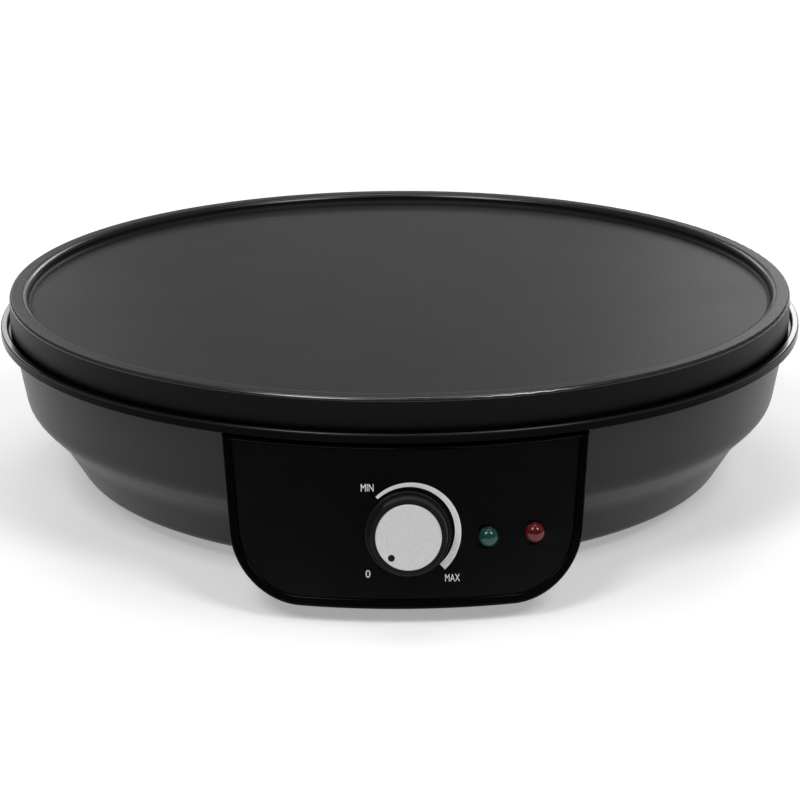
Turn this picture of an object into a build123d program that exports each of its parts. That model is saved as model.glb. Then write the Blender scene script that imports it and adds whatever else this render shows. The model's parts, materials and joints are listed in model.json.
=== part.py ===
"""Electric crepe maker: a cast baking plate on a bowl-shaped housing with a control panel at the front.

All lengths are millimetres. +Z is up and z = 0 is the table under the rubber feet. The control panel
faces -Y, so +X is on the user's right. The pieces are drawn round the plate's axis, and write() moves
them back so that the origin is the middle of the footprint, from the lip's back to the knob's front.
"""

import os
from math import cos, hypot, radians, sin, sqrt, tan

from build123d import *

os.makedirs("parts", exist_ok=True)

# ---------------------------------------------------------------------------------------------
# Driving dimensions
# ---------------------------------------------------------------------------------------------

# Baking plate
plate_diameter = 300.0
plate_edge_height = 12.3
plate_edge_round = 1.3
plate_lower_round = 0.5
plate_rim_width = 7.0
plate_rim_height = 4.0
plate_rim_inner_round = 2.2
plate_rim_fillet = 1.6
plate_skirt_fillet = 3.0
plate_floor_thickness = 4.0
plate_skirt_wall = 3.4
plate_rise = 11.3  # rim top above the housing's lip
plate_boss_radius = 6.0

# Bowl-shaped housing
foot_height = 5.0
bowl_height = 58.2  # underside to the top of the lip
bowl_wall = 2.6
bowl_base_inset = 29.7  # the flat underside's edge, in from the lip's outer edge
bowl_base_round = 7.0
bowl_shelf_inset = 19.2  # the hollow under the knee, in from the lip's outer edge
bowl_shelf_height = 17.5  # the hollow, above the underside
bowl_shelf_blend = 30.0
bowl_knee_inset = 9.0  # the wall's knee, in from the lip's outer edge
bowl_knee_height = 28.2  # the knee, above the underside
bowl_knee_blend = 10.0
lip_height = 3.4
lip_width = 2.85
lip_overhang = 4.4
lip_round = 0.7
lip_web = 1.6
lip_groove_height = 0.6  # the groove that parts the lip from the bowl
lip_groove_depth = 0.8
lip_groove_round = 0.3
vent_count = 12
vent_circle_radius = 55.0
vent_length = 22.0
vent_width = 3.0

# Screw posts and feet
post_offset = 17.0  # posts outside the element's ring
post_count = 4
post_radius = 6.5
post_start_angle = 45.0
post_well_radius = 4.5
post_seat_height = 24.0  # screw head seat, above the underside
foot_inset = 28.5  # feet in from the underside's edge
foot_radius = 9.5
foot_edge_round = 1.2
foot_stem_radius = 3.0
foot_barb_radius = 4.0
foot_barb_height = 1.6

# Control housing and fascia
panel_tilt = 12.5
panel_top_proud = 5.06  # bezel in front of the bowl's wall, at the top
panel_top_half_width = 61.65
panel_bottom_half_width = 57.7
panel_bottom_gap = 0.9  # control housing's underside above the bowl's
panel_corner_radius = 24.0
panel_side_wall = 2.4
panel_front_wall = 3.4
bezel_width = 3.3
bezel_top_width = 0.9
bezel_round = 0.8
bezel_inner_round = 0.5
fascia_recess = 0.6
fascia_thickness = 1.2
window_half_width = 46.5
window_bottom = 9.0  # window's lower edge above the underside
window_corner = 8.0

# Knob
knob_side_offset = 0.4
knob_drop = 28.0  # knob axis below the panel's top edge
knob_skirt_radius = 14.2
knob_skirt_height = 2.2
knob_body_radius = 13.2
knob_front_radius = 12.6
knob_height = 10.0
knob_wall = 1.7
knob_hub_radius = 5.4
knob_gap = 0.8
knob_edge_round = 0.5
cap_radius = 10.9
cap_thickness = 0.9
cap_proud = 0.25
pointer_radius = 1.1
pointer_circle_radius = 8.8
pointer_rest_angle = 230.0

# Lamps
lamp_offsets = {"green": 27.1, "red": 42.7}
lamp_drop = 2.2  # lamps below the knob axis
lens_countersink = 0.5
lens_radius = 3.4
lens_proud = 0.6
dome_height = 2.8
lens_flange_radius = 4.5
lens_flange_thickness = 1.0
lens_flange_depth = 5.2
lamp_boss_wall = 1.6
lamp_boss_depth = 11.0
neon_radius = 2.0
neon_length = 11.0

# Heating
element_inset = 55.0  # ring in from the plate's edge
element_tube_radius = 3.9
element_gap_angle = 30.0  # half of the ring's open angle, at the front
element_bend_radius = 10.0
element_leg_length = 4.0
element_pin_radius = 1.6
element_pin_length = 8.0
element_seal_height = 2.0
groove_rib_width = 2.4
groove_depth = 6.5
element_air_gap = 1.6  # reflector below the clamp screws' heads
clamp_width = 9.0
clamp_thickness = 1.2
clamp_count = 5
reflector_inset = 12.0  # in from the plate's edge
reflector_rim_height = 5.0
reflector_thickness = 0.8
heat_washer_thickness = 3.0

# Thermostat
spindle_radius = 3.0
spindle_flat_depth = 1.0
spindle_tip = 5.5  # beyond the fascia's front
spring_thickness = 0.4
spring_width = 3.6
thermostat_depth = 40.0  # bracket's front face behind the fascia
bracket_thickness = 1.5
bracket_left = 24.0
bracket_right = 16.0
bracket_below = 8.0
bracket_flange_length = 15.0
bush_radius = 4.5
bush_head_radius = 6.0
bush_head_height = 2.0
bush_front_length = 6.0
collar_thickness = 0.9
collar_radius = 4.2
clip_thickness = 0.8
clip_groove_depth = 0.5
nut_flats = 12.0
nut_height = 2.4
plunger_radius = 1.5
plunger_travel = 0.8
plunger_reach = 3.3
stack_side = 17.0
blade_half_width = 3.0
blade_reach = 10.0
adjusting_blade_thickness = 0.5
contact_blade_thickness = 0.3
bimetal_thickness = 1.0
contact_radius = 2.0
contact_thickness = 1.0
contact_gap = 0.9
ceramic_radius = 4.2
ceramic_thickness = 3.0
rivet_radius = 1.5
rivet_head_radius = 3.0
rivet_head_height = 1.0
tab_length = 9.0

# Cord inlet, terminals and earth
gland_height = 17.0  # above the bowl's underside
gland_bore_radius = 3.6
gland_body_radius = 5.5
gland_flange_radius = 8.0
gland_flange_thickness = 2.0
gland_pad_radius = 9.5
gland_barb = 0.8
cord_clamp_setback = 14.5  # in from the gland's pad
cord_clamp_width = 8.0
cord_clamp_bar = 2.5
block_length = 34.0
block_depth = 16.0
block_height = 13.0
block_setback = 24.0  # in from the cord clamp
block_ear_height = 5.0
pole_pitch = 7.0
port_height = 5.0  # above the block's base
earth_setback = 14.0  # in from the terminal block
earth_tab_length = 16.0
earth_tab_width = 8.0
fuse_radius = 2.0
fuse_body_length = 10.0
fuse_clip_thickness = 0.8
fuse_clip_width = 8.0
fuse_offset = 45.0  # fuse to the right of the centre
fuse_length = 26.0
lead_radius = 1.3
lamp_lead_radius = 0.7
crimp_wall = 0.8
pin_crimp_length = 4.5

# Fasteners
plate_screw_radius = 2.0
plate_screw_head_radius = 3.9
plate_screw_head_height = 2.4
small_screw_radius = 1.5
small_screw_head_radius = 2.8
small_screw_head_height = 1.8
small_screw_length = 8.0
lower_screw_length = 16.0  # longer, where the bowl's wall slopes away

# Clearances
thread_gap = 0.05  # between a screw and the hole it cuts or fills
hole_gap = 0.25  # round a screw or stem that passes through
running_gap = 0.05
seat_gap = 0.05
trim_gap = 0.15
plate_gap = 0.9  # between the plate's edge and the lip

# ---------------------------------------------------------------------------------------------
# Levels and radii that follow from them
# ---------------------------------------------------------------------------------------------

plate_radius = plate_diameter / 2
bowl_bottom = foot_height
lip_top = bowl_bottom + bowl_height
lip_bottom = lip_top - lip_height
web_top = lip_bottom + lip_web
shoulder_level = lip_bottom - lip_groove_height
lip_inner_radius = plate_radius + plate_gap
lip_outer_radius = lip_inner_radius + lip_width
wall_top_radius = lip_outer_radius - lip_overhang
knee_radius = lip_outer_radius - bowl_knee_inset
shelf_radius = lip_outer_radius - bowl_shelf_inset
bowl_base_radius = lip_outer_radius - bowl_base_inset
foot_circle_radius = bowl_base_radius - foot_inset
element_circle_radius = plate_radius - element_inset
post_circle_radius = element_circle_radius + post_offset
reflector_radius = plate_radius - reflector_inset
panel_top_radius = wall_top_radius + panel_top_proud
knee_level = bowl_bottom + bowl_knee_height
shelf_level = bowl_bottom + bowl_shelf_height
wall_points = [
    (bowl_base_radius, bowl_bottom),
    (shelf_radius, shelf_level),
    (knee_radius, knee_level),
    (wall_top_radius, lip_bottom),
]
floor_level = bowl_bottom + bowl_wall

rim_top = lip_top + plate_rise
plate_floor_top = rim_top - plate_rim_height
plate_floor_bottom = plate_floor_top - plate_floor_thickness
plate_edge_bottom = rim_top - plate_edge_height
tube_level = plate_floor_bottom - element_tube_radius - seat_gap
clamp_level = tube_level - element_tube_radius - seat_gap
clamp_head_bottom = clamp_level - clamp_thickness - small_screw_head_height
boss_bottom = clamp_head_bottom - element_air_gap
plate_boss_height = plate_floor_bottom - boss_bottom
reflector_top = boss_bottom
reflector_bottom = reflector_top - reflector_thickness
post_top = reflector_bottom - heat_washer_thickness
screw_seat = bowl_bottom + post_seat_height

panel_top = shoulder_level - 2 * trim_gap
panel_bottom = bowl_bottom + panel_bottom_gap
fascia_pocket = fascia_recess + fascia_thickness

small_hole_radius = small_screw_radius + hole_gap
small_thread_radius = small_screw_radius + thread_gap


def cone_radius(level, inset=0.0):
    """Radius of the control panel's cone at a height, drawn in by an inset along its normal."""
    slope = tan(radians(panel_tilt))
    return panel_top_radius + (panel_top - level) * slope - inset / cos(radians(panel_tilt))


def wall_radius(level, inset=0.0):
    """Radius of the bowl's outer wall at a height, drawn in by an inset along its normal."""
    spans = list(zip(wall_points, wall_points[1:]))
    (radius, start), (end_radius, end) = next((span for span in spans if level < span[1][1]), spans[-1])
    slope = (end_radius - radius) / (end - start)
    return radius + (level - start) * slope - inset * sqrt(1 + slope * slope)


def panel_plane(side, level):
    """Plane on the fascia's front surface, x to the right and z outward along the panel's tilt."""
    radius = cone_radius(level, fascia_recess)
    return Plane(
        origin=(side, -sqrt(radius**2 - side**2), level),
        x_dir=(1, 0, 0),
        z_dir=(0, -cos(radians(panel_tilt)), sin(radians(panel_tilt))),
    )


def on_plane(plane, x, y, z):
    """Point given in a plane's own coordinates, in the part's frame."""
    return plane.from_local_coords(Vector(x, y, z))


def write(name, part):
    """Move a finished piece into the footprint's frame, label it and write its STEP file."""
    piece = part.moved(Location((0, axis_setback, 0)))
    piece.label = name
    export_step(piece, f"parts/{name}.step")


# ---------------------------------------------------------------------------------------------
# Shared profiles
# ---------------------------------------------------------------------------------------------


def bowl_outline(grow=0.0):
    """Half section of the bowl's outside, grown outward for the pieces that seat round it."""
    with BuildSketch(Plane.XZ) as outline:
        with BuildLine():
            side = FilletPolyline(
                (0, bowl_bottom - grow),
                (bowl_base_radius + grow, bowl_bottom - grow),
                (shelf_radius + grow, shelf_level),
                (knee_radius + grow, knee_level),
                (wall_top_radius + grow, lip_bottom),
                radius=[bowl_base_round, bowl_shelf_blend, bowl_knee_blend],
            )
            Polyline(side @ 1, (0, lip_bottom), side @ 0)
        make_face()
    return outline.sketch


def cone_section(inset=0.0):
    """Half section of the solid inside the control panel's cone."""
    overshoot = bowl_height
    low = bowl_bottom - overshoot
    high = lip_top + overshoot
    with BuildSketch(Plane.XZ) as section:
        with BuildLine():
            Polyline(
                (0, low),
                (cone_radius(low, inset), low),
                (cone_radius(high, inset), high),
                (0, high),
                close=True,
            )
        make_face()
    return section.sketch


def panel_outline(side_inset, top_inset):
    """Front outline of the control panel: straight tapered sides and round lower corners."""
    top = panel_top - top_inset
    bottom = panel_bottom + side_inset
    upper = panel_top_half_width - side_inset
    lower = panel_bottom_half_width - side_inset
    corner = panel_corner_radius - side_inset
    with BuildSketch(Plane.XZ) as outline:
        with BuildLine():
            FilletPolyline(
                (-upper, top),
                (-lower, bottom),
                (lower, bottom),
                (upper, top),
                radius=[0, corner, corner, 0],
                close=True,
            )
        make_face()
    return outline.sketch


panel_reach = plate_radius + 2 * bezel_width + panel_corner_radius
gland_level = bowl_bottom + gland_height
gland_seat = wall_radius(gland_level + gland_pad_radius)
gland_inner_end = wall_radius(gland_level - gland_pad_radius, bowl_wall) - bowl_wall
cord_clamp_distance = gland_inner_end - cord_clamp_setback
block_distance = cord_clamp_distance - block_setback

# ---------------------------------------------------------------------------------------------
# Baking plate
# ---------------------------------------------------------------------------------------------

knob_level = panel_top - knob_drop
knob_plane = panel_plane(knob_side_offset, knob_level)
knob_front = on_plane(knob_plane, 0, cap_proud - cap_radius, knob_height + cap_proud).Y
axis_setback = -(knob_front + lip_outer_radius) / 2

# The thermostat's bracket hangs from two bosses under the plate.
bracket_back = -thermostat_depth - bracket_thickness
bracket_rise = (reflector_bottom - bracket_thickness - on_plane(knob_plane, 0, 0, bracket_back).Z) / cos(
    radians(panel_tilt)
)
bracket_corner = on_plane(knob_plane, 0, bracket_rise, bracket_back)
bracket_screw_y = bracket_corner.Y + bracket_flange_length / 2
bracket_screw_spots = [
    (knob_side_offset - bracket_left + 2 * small_screw_head_radius, bracket_screw_y),
    (knob_side_offset + bracket_right - 2 * small_screw_head_radius, bracket_screw_y),
]

groove_half_width = element_tube_radius + seat_gap
groove_outer_radius = element_circle_radius + groove_half_width + groove_rib_width
groove_inner_radius = element_circle_radius - groove_half_width - groove_rib_width
groove_bottom = plate_floor_bottom - groove_depth
clamp_screw_circle = groove_outer_radius + small_screw_head_radius + seat_gap
ring_start = 270 + element_gap_angle
ring_sweep = 360 - 2 * element_gap_angle
clamp_step = ring_sweep / clamp_count
clamp_angles = [ring_start + clamp_step * (index + 0.5) for index in range(clamp_count)]
clamp_screw_spots = [
    (clamp_screw_circle * cos(radians(angle)), clamp_screw_circle * sin(radians(angle)))
    for angle in clamp_angles
]
earth_spot = (0, block_distance - earth_setback)
fuse_sleeve_radius = fuse_radius + 2 * seat_gap + crimp_wall / 2
fuse_level = reflector_bottom - fuse_sleeve_radius - seat_gap
fuse_clip_side = fuse_offset + fuse_sleeve_radius + fuse_clip_thickness + small_screw_head_radius + hole_gap

with BuildPart() as baking_plate:
    with BuildSketch(Plane.XZ):
        with BuildLine():
            edge_inner = plate_radius - plate_skirt_wall
            dish_radius = plate_radius - plate_rim_width
            FilletPolyline(
                (0, plate_floor_top),
                (dish_radius, plate_floor_top),
                (dish_radius, rim_top),
                (plate_radius, rim_top),
                (plate_radius, plate_edge_bottom),
                (edge_inner, plate_edge_bottom),
                (edge_inner, plate_floor_bottom),
                (0, plate_floor_bottom),
                radius=[
                    0,
                    plate_rim_fillet,
                    plate_rim_inner_round,
                    plate_edge_round,
                    plate_lower_round,
                    plate_lower_round,
                    plate_skirt_fillet,
                    0,
                ],
                close=True,
            )
        make_face()
    revolve(axis=Axis.Z)
    # Two ribs hold the element's ring between them; they stop short of its bent ends.
    with BuildSketch(Plane.XY.offset(groove_bottom)):
        Circle(groove_outer_radius)
        Circle(groove_inner_radius, mode=Mode.SUBTRACT)
        open_half = element_circle_radius * sin(radians(element_gap_angle)) + 2 * element_bend_radius
        with Locations((0, -element_circle_radius)):
            Rectangle(2 * open_half, element_circle_radius, mode=Mode.SUBTRACT)
    extrude(amount=groove_depth)
    with BuildSketch(Plane.XY.offset(groove_bottom)):
        Circle(element_circle_radius + groove_half_width)
        Circle(element_circle_radius - groove_half_width, mode=Mode.SUBTRACT)
    extrude(amount=groove_depth, mode=Mode.SUBTRACT)
    # Bosses for the long fixing screws, the thermostat's bracket and the earth tab.
    with BuildSketch(Plane.XY.offset(boss_bottom)):
        with PolarLocations(post_circle_radius, post_count, start_angle=post_start_angle):
            Circle(plate_boss_radius)
        with Locations(*bracket_screw_spots, earth_spot):
            Circle(plate_boss_radius - small_screw_radius)
    extrude(amount=plate_boss_height)
    with BuildSketch(Plane.XY.offset(clamp_level)):
        with Locations(*clamp_screw_spots):
            Circle(2 * small_screw_radius)
    extrude(amount=plate_floor_bottom - clamp_level)
    with BuildSketch(Plane.XY.offset(boss_bottom)):
        with PolarLocations(post_circle_radius, post_count, start_angle=post_start_angle):
            Circle(plate_screw_radius + thread_gap)
        with Locations(*bracket_screw_spots, *clamp_screw_spots, earth_spot):
            Circle(small_thread_radius)
    extrude(amount=plate_boss_height, mode=Mode.SUBTRACT)
write("baking_plate", baking_plate.part)

# ---------------------------------------------------------------------------------------------
# Heating element, its clamps and the reflector
# ---------------------------------------------------------------------------------------------


def ring_end(angle, turn):
    """Plane at one end of the ring: x runs on along the ring, y is up."""
    across = Vector(cos(radians(angle)), sin(radians(angle)), 0)
    onward = Vector(-sin(radians(angle)), cos(radians(angle)), 0) * turn
    start = across * element_circle_radius + Vector(0, 0, tube_level)
    return Plane(origin=start, x_dir=onward, z_dir=onward.cross(Vector(0, 0, 1)))


element_ends = [ring_end(ring_start, -1), ring_end(ring_start + ring_sweep, 1)]
leg_level = tube_level - element_bend_radius - element_leg_length
pin_spots = [on_plane(plane, element_bend_radius, 0, 0) for plane in element_ends]

with BuildLine(Plane.XY.offset(tube_level)) as ring_path:
    CenterArc((0, 0), element_circle_radius, ring_start, ring_sweep)
leg_paths = []
for end_plane in element_ends:
    with BuildLine(end_plane) as leg_path:
        JernArc((0, 0), (1, 0), element_bend_radius, -90)
        Line(
            (element_bend_radius, -element_bend_radius),
            (element_bend_radius, -element_bend_radius - element_leg_length),
        )
    leg_paths.append(leg_path.line)

with BuildPart() as heating_element:
    with BuildLine() as element_path:
        add(leg_paths[0])
        add(ring_path.line)
        add(leg_paths[1])
    with BuildSketch(Plane.XY.offset(leg_level)):
        with Locations(on_plane(element_ends[0], element_bend_radius, 0, 0)):
            Circle(element_tube_radius)
    sweep(path=element_path.wires()[0])
    # The cold pins leave the tube's ends inside an insulating bead.
    with BuildSketch(Plane.XY.offset(leg_level)):
        with Locations(*pin_spots):
            Circle(element_pin_radius + seat_gap)
    extrude(amount=element_leg_length / 2, mode=Mode.SUBTRACT)
write("heating_element", heating_element.part)

pin_bottom = leg_level - element_pin_length

with BuildPart() as element_pins:
    with BuildSketch(Plane.XY.offset(pin_bottom)):
        with Locations(*pin_spots):
            Circle(element_pin_radius)
    extrude(amount=element_pin_length + element_leg_length / 2 - seat_gap)
write("element_pins", element_pins.part)

with BuildPart() as element_seals:
    with BuildSketch(Plane.XY.offset(leg_level - element_seal_height)):
        with Locations(*pin_spots):
            Circle(element_tube_radius)
            Circle(element_pin_radius + seat_gap, mode=Mode.SUBTRACT)
    extrude(amount=element_seal_height)
write("element_seals", element_seals.part)

clamp_inner = element_circle_radius - element_tube_radius
clamp_outer = clamp_screw_circle + small_screw_head_radius + clamp_thickness
clamp_middle = (clamp_inner + clamp_outer) / 2

with BuildPart() as element_clamps:
    with BuildSketch(Plane.XY.offset(clamp_level - clamp_thickness)):
        with PolarLocations(clamp_middle, clamp_count, start_angle=clamp_angles[0], angular_range=ring_sweep):
            Rectangle(clamp_outer - clamp_inner, clamp_width)
        with Locations(*clamp_screw_spots):
            Circle(small_hole_radius, mode=Mode.SUBTRACT)
    extrude(amount=clamp_thickness)
write("element_clamps", element_clamps.part)


def screws_up(spots, seat, length, shank_radius, head_radius, head_height):
    """Screws that run upward from the level their heads seat on, each a separate solid."""
    with BuildPart() as screws:
        with BuildSketch(Plane.XY.offset(seat - head_height)):
            with Locations(*spots):
                Circle(head_radius)
        extrude(amount=head_height)
        chamfer(screws.edges().group_by(Axis.Z)[0], head_height / 4)
        with BuildSketch(Plane.XY.offset(seat)):
            with Locations(*spots):
                Circle(shank_radius)
        extrude(amount=length)
        # A cross recess for the driver.
        with BuildSketch(Plane.XY.offset(seat - head_height)):
            with Locations(*spots):
                Rectangle(head_radius, head_radius / 4)
                Rectangle(head_radius / 4, head_radius)
        extrude(amount=head_height / 2, mode=Mode.SUBTRACT)
    return screws.part


def polar_spots(radius, count, start=0.0):
    """Centres of a ring of fasteners."""
    step = 360 / count
    return [
        (radius * cos(radians(start + index * step)), radius * sin(radians(start + index * step)))
        for index in range(count)
    ]


element_clamp_screws = screws_up(
    clamp_screw_spots,
    clamp_level - clamp_thickness,
    plate_floor_bottom - clamp_level,
    small_screw_radius,
    small_screw_head_radius,
    small_screw_head_height,
)
write("element_clamp_screws", element_clamp_screws)

post_spots = polar_spots(post_circle_radius, post_count, post_start_angle)

with BuildPart() as heat_reflector:
    with BuildSketch(Plane.XY.offset(reflector_bottom)):
        Circle(reflector_radius)
    extrude(amount=reflector_thickness)
    with BuildSketch(Plane.XY.offset(reflector_bottom)):
        Circle(reflector_radius)
        Circle(reflector_radius - reflector_thickness, mode=Mode.SUBTRACT)
    extrude(amount=reflector_rim_height)
    with BuildSketch(Plane.XY.offset(reflector_bottom)):
        with Locations(*post_spots):
            Circle(plate_screw_radius + hole_gap)
        with Locations(*bracket_screw_spots, earth_spot):
            Circle(small_hole_radius)
        with Locations(*pin_spots):
            Circle(element_tube_radius + 2 * plate_gap)
        with Locations((fuse_clip_side, 0)):
            Circle(small_hole_radius)
    extrude(amount=reflector_thickness, mode=Mode.SUBTRACT)
write("heat_reflector", heat_reflector.part)

with BuildPart() as heat_washers:
    with BuildSketch(Plane.XY.offset(post_top)):
        with Locations(*post_spots):
            Circle(plate_boss_radius)
            Circle(plate_screw_radius + hole_gap, mode=Mode.SUBTRACT)
    extrude(amount=heat_washer_thickness)
write("heat_washers", heat_washers.part)

plate_screw_length = boss_bottom + plate_boss_height - screw_seat - plate_screw_head_height / 2
plate_screws = screws_up(
    post_spots,
    screw_seat,
    plate_screw_length,
    plate_screw_radius,
    plate_screw_head_radius,
    plate_screw_head_height,
)
write("plate_screws", plate_screws)

# ---------------------------------------------------------------------------------------------
# Bowl-shaped housing
# ---------------------------------------------------------------------------------------------

foot_spots = polar_spots(foot_circle_radius, post_count, post_start_angle)
housing_pad_radius = small_screw_head_radius + bowl_wall / 2


def housing_screw_pad(side, level):
    """Distance in front of the axis of the flat seat, inside the bowl, for a screw of the control housing."""
    lowest = wall_radius(level - housing_pad_radius, bowl_wall)
    return sqrt(lowest**2 - (abs(side) + housing_pad_radius) ** 2) - plate_gap


housing_screw_side = window_half_width + housing_pad_radius + plate_gap
upper_screw_level = panel_top - 2 * housing_pad_radius
lower_screw_level = knee_level - housing_pad_radius
housing_screw_spots = [
    (sign * housing_screw_side, level, length)
    for sign in (-1, 1)
    for level, length in ((upper_screw_level, small_screw_length), (lower_screw_level, lower_screw_length))
]
clamp_side = gland_bore_radius + small_screw_head_radius + bowl_wall
clamp_top = gland_level - gland_bore_radius / 2
clamp_spots = [(-clamp_side, cord_clamp_distance), (clamp_side, cord_clamp_distance)]
block_side = block_length / 2 - small_screw_head_radius
block_base = floor_level + bowl_wall
cord_support_top = gland_level - gland_bore_radius
block_screw_spots = [(-block_side, block_distance), (block_side, block_distance)]

with BuildPart() as base_housing:
    add(bowl_outline())
    revolve(axis=Axis.Z)
    offset(amount=-bowl_wall, openings=base_housing.faces().sort_by(Axis.Z)[-1])
    # The lip round the plate and the web that carries it.
    with BuildSketch(Plane.XZ):
        with BuildLine():
            FilletPolyline(
                (wall_top_radius - bowl_wall, lip_bottom),
                (lip_outer_radius, lip_bottom),
                (lip_outer_radius, lip_top),
                (lip_inner_radius, lip_top),
                (lip_inner_radius, web_top),
                (wall_top_radius - bowl_wall, web_top),
                radius=[0, lip_round / 2, lip_round, lip_round, 0, 0],
                close=True,
            )
        make_face()
    revolve(axis=Axis.Z)
    # The groove under the lip leaves the bowl a rounded shoulder.
    with BuildSketch(Plane.XY.offset(shoulder_level)):
        Circle(lip_outer_radius)
        Circle(wall_top_radius - lip_groove_depth, mode=Mode.SUBTRACT)
    extrude(amount=lip_groove_height, mode=Mode.SUBTRACT)
    shoulder_edges = base_housing.edges().filter_by(GeomType.CIRCLE).filter_by_position(
        Axis.Z, shoulder_level - seat_gap, shoulder_level + seat_gap
    )
    fillet(shoulder_edges.sort_by(SortBy.RADIUS)[-1], lip_groove_round)
    # Posts for the plate's screws, for the cord clamp and for the terminal block.
    with BuildSketch(Plane.XY.offset(floor_level)):
        with Locations(*post_spots):
            Circle(post_radius)
    extrude(amount=post_top - floor_level)
    with BuildSketch(Plane.XY.offset(floor_level)):
        with Locations(*clamp_spots):
            Circle(small_screw_head_radius)
    extrude(amount=clamp_top - floor_level)
    with BuildSketch(Plane.XY.offset(floor_level)):
        with Locations(*block_screw_spots):
            Circle(small_screw_head_radius)
    extrude(amount=block_base - floor_level)
    with BuildSketch(Plane.XY.offset(floor_level)):
        with Locations((0, cord_clamp_distance)):
            Rectangle(2 * gland_bore_radius, cord_clamp_width)
    extrude(amount=cord_support_top - floor_level)
    # A pad with a flat outer face for the cord gland.
    with BuildSketch(Plane.XZ.offset(-gland_seat)):
        with Locations((0, gland_level)):
            Circle(gland_pad_radius)
    extrude(amount=gland_seat - gland_inner_end)
    # Flat seats for the control housing's screws.
    for side, level, length in housing_screw_spots:
        seat = housing_screw_pad(side, level)
        with BuildSketch(Plane.XZ.offset(seat)):
            with Locations((side, level)):
                Circle(housing_pad_radius)
        extrude(amount=sqrt(wall_radius(level) ** 2 - side**2) - seat - bowl_wall)
    # Holes: screw wells and shanks, feet, vents, gland, control window.
    with BuildSketch(Plane.XY.offset(bowl_bottom)):
        with Locations(*post_spots):
            Circle(post_well_radius)
    extrude(amount=post_seat_height, mode=Mode.SUBTRACT)
    with BuildSketch(Plane.XY.offset(bowl_bottom)):
        with Locations(*post_spots):
            Circle(plate_screw_radius + hole_gap)
    extrude(amount=post_top - bowl_bottom, mode=Mode.SUBTRACT)
    with BuildSketch(Plane.XY.offset(bowl_bottom)):
        with Locations(*foot_spots):
            Circle(foot_stem_radius + running_gap)
        with PolarLocations(vent_circle_radius, vent_count, start_angle=180 / vent_count):
            SlotOverall(vent_length, vent_width)
    extrude(amount=bowl_wall, mode=Mode.SUBTRACT)
    with BuildSketch(Plane.XY.offset(floor_level)):
        with Locations(*clamp_spots, *block_screw_spots):
            Circle(small_thread_radius)
    extrude(amount=clamp_top - floor_level, mode=Mode.SUBTRACT)
    with BuildSketch(Plane.XZ.offset(-gland_seat)):
        with Locations((0, gland_level)):
            Circle(gland_body_radius + running_gap)
    extrude(amount=gland_seat - gland_inner_end, mode=Mode.SUBTRACT)
    window_top = lip_bottom - bowl_wall - housing_pad_radius
    window_low = bowl_bottom + window_bottom
    with BuildSketch(Plane.XZ.offset(wall_radius(bowl_bottom, 4 * bowl_wall) - window_corner)):
        with Locations((0, (window_top + window_low) / 2)):
            RectangleRounded(2 * window_half_width, window_top - window_low, window_corner)
    extrude(amount=plate_radius, mode=Mode.SUBTRACT)
    for side, level, length in housing_screw_spots:
        with BuildSketch(Plane.XZ.offset(housing_screw_pad(side, level) - bowl_wall)):
            with Locations((side, level)):
                Circle(small_hole_radius)
        extrude(amount=plate_radius, mode=Mode.SUBTRACT)
write("base_housing", base_housing.part)

for index, (foot_x, foot_y) in enumerate(foot_spots, start=1):
    with BuildPart() as rubber_foot:
        with BuildSketch():
            with Locations((foot_x, foot_y)):
                Circle(foot_radius)
        extrude(amount=foot_height)
        chamfer(rubber_foot.edges().group_by(Axis.Z)[0], foot_edge_round)
        with BuildSketch(Plane.XY.offset(foot_height)):
            with Locations((foot_x, foot_y)):
                Circle(foot_stem_radius)
        extrude(amount=bowl_wall + foot_barb_height)
        with BuildSketch(Plane.XY.offset(floor_level + seat_gap)):
            with Locations((foot_x, foot_y)):
                Circle(foot_barb_radius)
        extrude(amount=foot_barb_height, taper=15)
    write(f"rubber_foot_{index}", rubber_foot.part)

# ---------------------------------------------------------------------------------------------
# Control housing, fascia and lamps
# ---------------------------------------------------------------------------------------------

lamp_level = knob_level - lamp_drop
lamp_planes = {colour: panel_plane(side, lamp_level) for colour, side in lamp_offsets.items()}
lamp_boss_inner = lens_flange_radius + trim_gap
lamp_boss_outer = lamp_boss_inner + lamp_boss_wall
boss_radius = small_screw_head_radius + seat_gap

with BuildPart() as bowl_space:
    add(bowl_outline(grow=seat_gap))
    revolve(axis=Axis.Z)

toward_user = (0, -1, 0)

with BuildPart() as control_cavity:
    extrude(panel_outline(panel_side_wall, panel_side_wall), amount=panel_reach, dir=toward_user)
    add(cone_section(panel_front_wall))
    revolve(axis=Axis.Z, mode=Mode.INTERSECT)

with BuildPart() as fascia_space:
    extrude(panel_outline(bezel_width, bezel_top_width), amount=panel_reach, dir=toward_user)
    add(cone_section(fascia_pocket))
    revolve(axis=Axis.Z, mode=Mode.SUBTRACT)


def borders_fascia(edge):
    """True for the bezel's inner edges: on the panel's cone, one bezel width in from the outline."""
    middle = edge @ 0.5
    on_cone = abs(hypot(middle.X, middle.Y) - cone_radius(middle.Z)) < seat_gap
    beside = abs(middle.X) < panel_top_half_width - bezel_width + seat_gap
    below_top = middle.Z < panel_top - bezel_top_width + seat_gap
    above_bottom = middle.Z > panel_bottom + bezel_width - seat_gap
    return on_cone and beside and below_top and above_bottom and middle.Y < 0


with BuildPart() as control_bosses:
    for side, level, length in housing_screw_spots:
        with BuildSketch(Plane.XZ.offset(housing_screw_pad(side, level))):
            with Locations((side, level)):
                Circle(boss_radius)
        extrude(amount=panel_reach - plate_radius)
    for lamp_plane in lamp_planes.values():
        with BuildSketch(lamp_plane.offset(-lamp_boss_depth)):
            Circle(lamp_boss_outer)
        extrude(amount=lamp_boss_depth)
    add(cone_section((fascia_pocket + panel_front_wall) / 2))
    revolve(axis=Axis.Z, mode=Mode.INTERSECT)
    add(bowl_space.part, mode=Mode.SUBTRACT)

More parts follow.
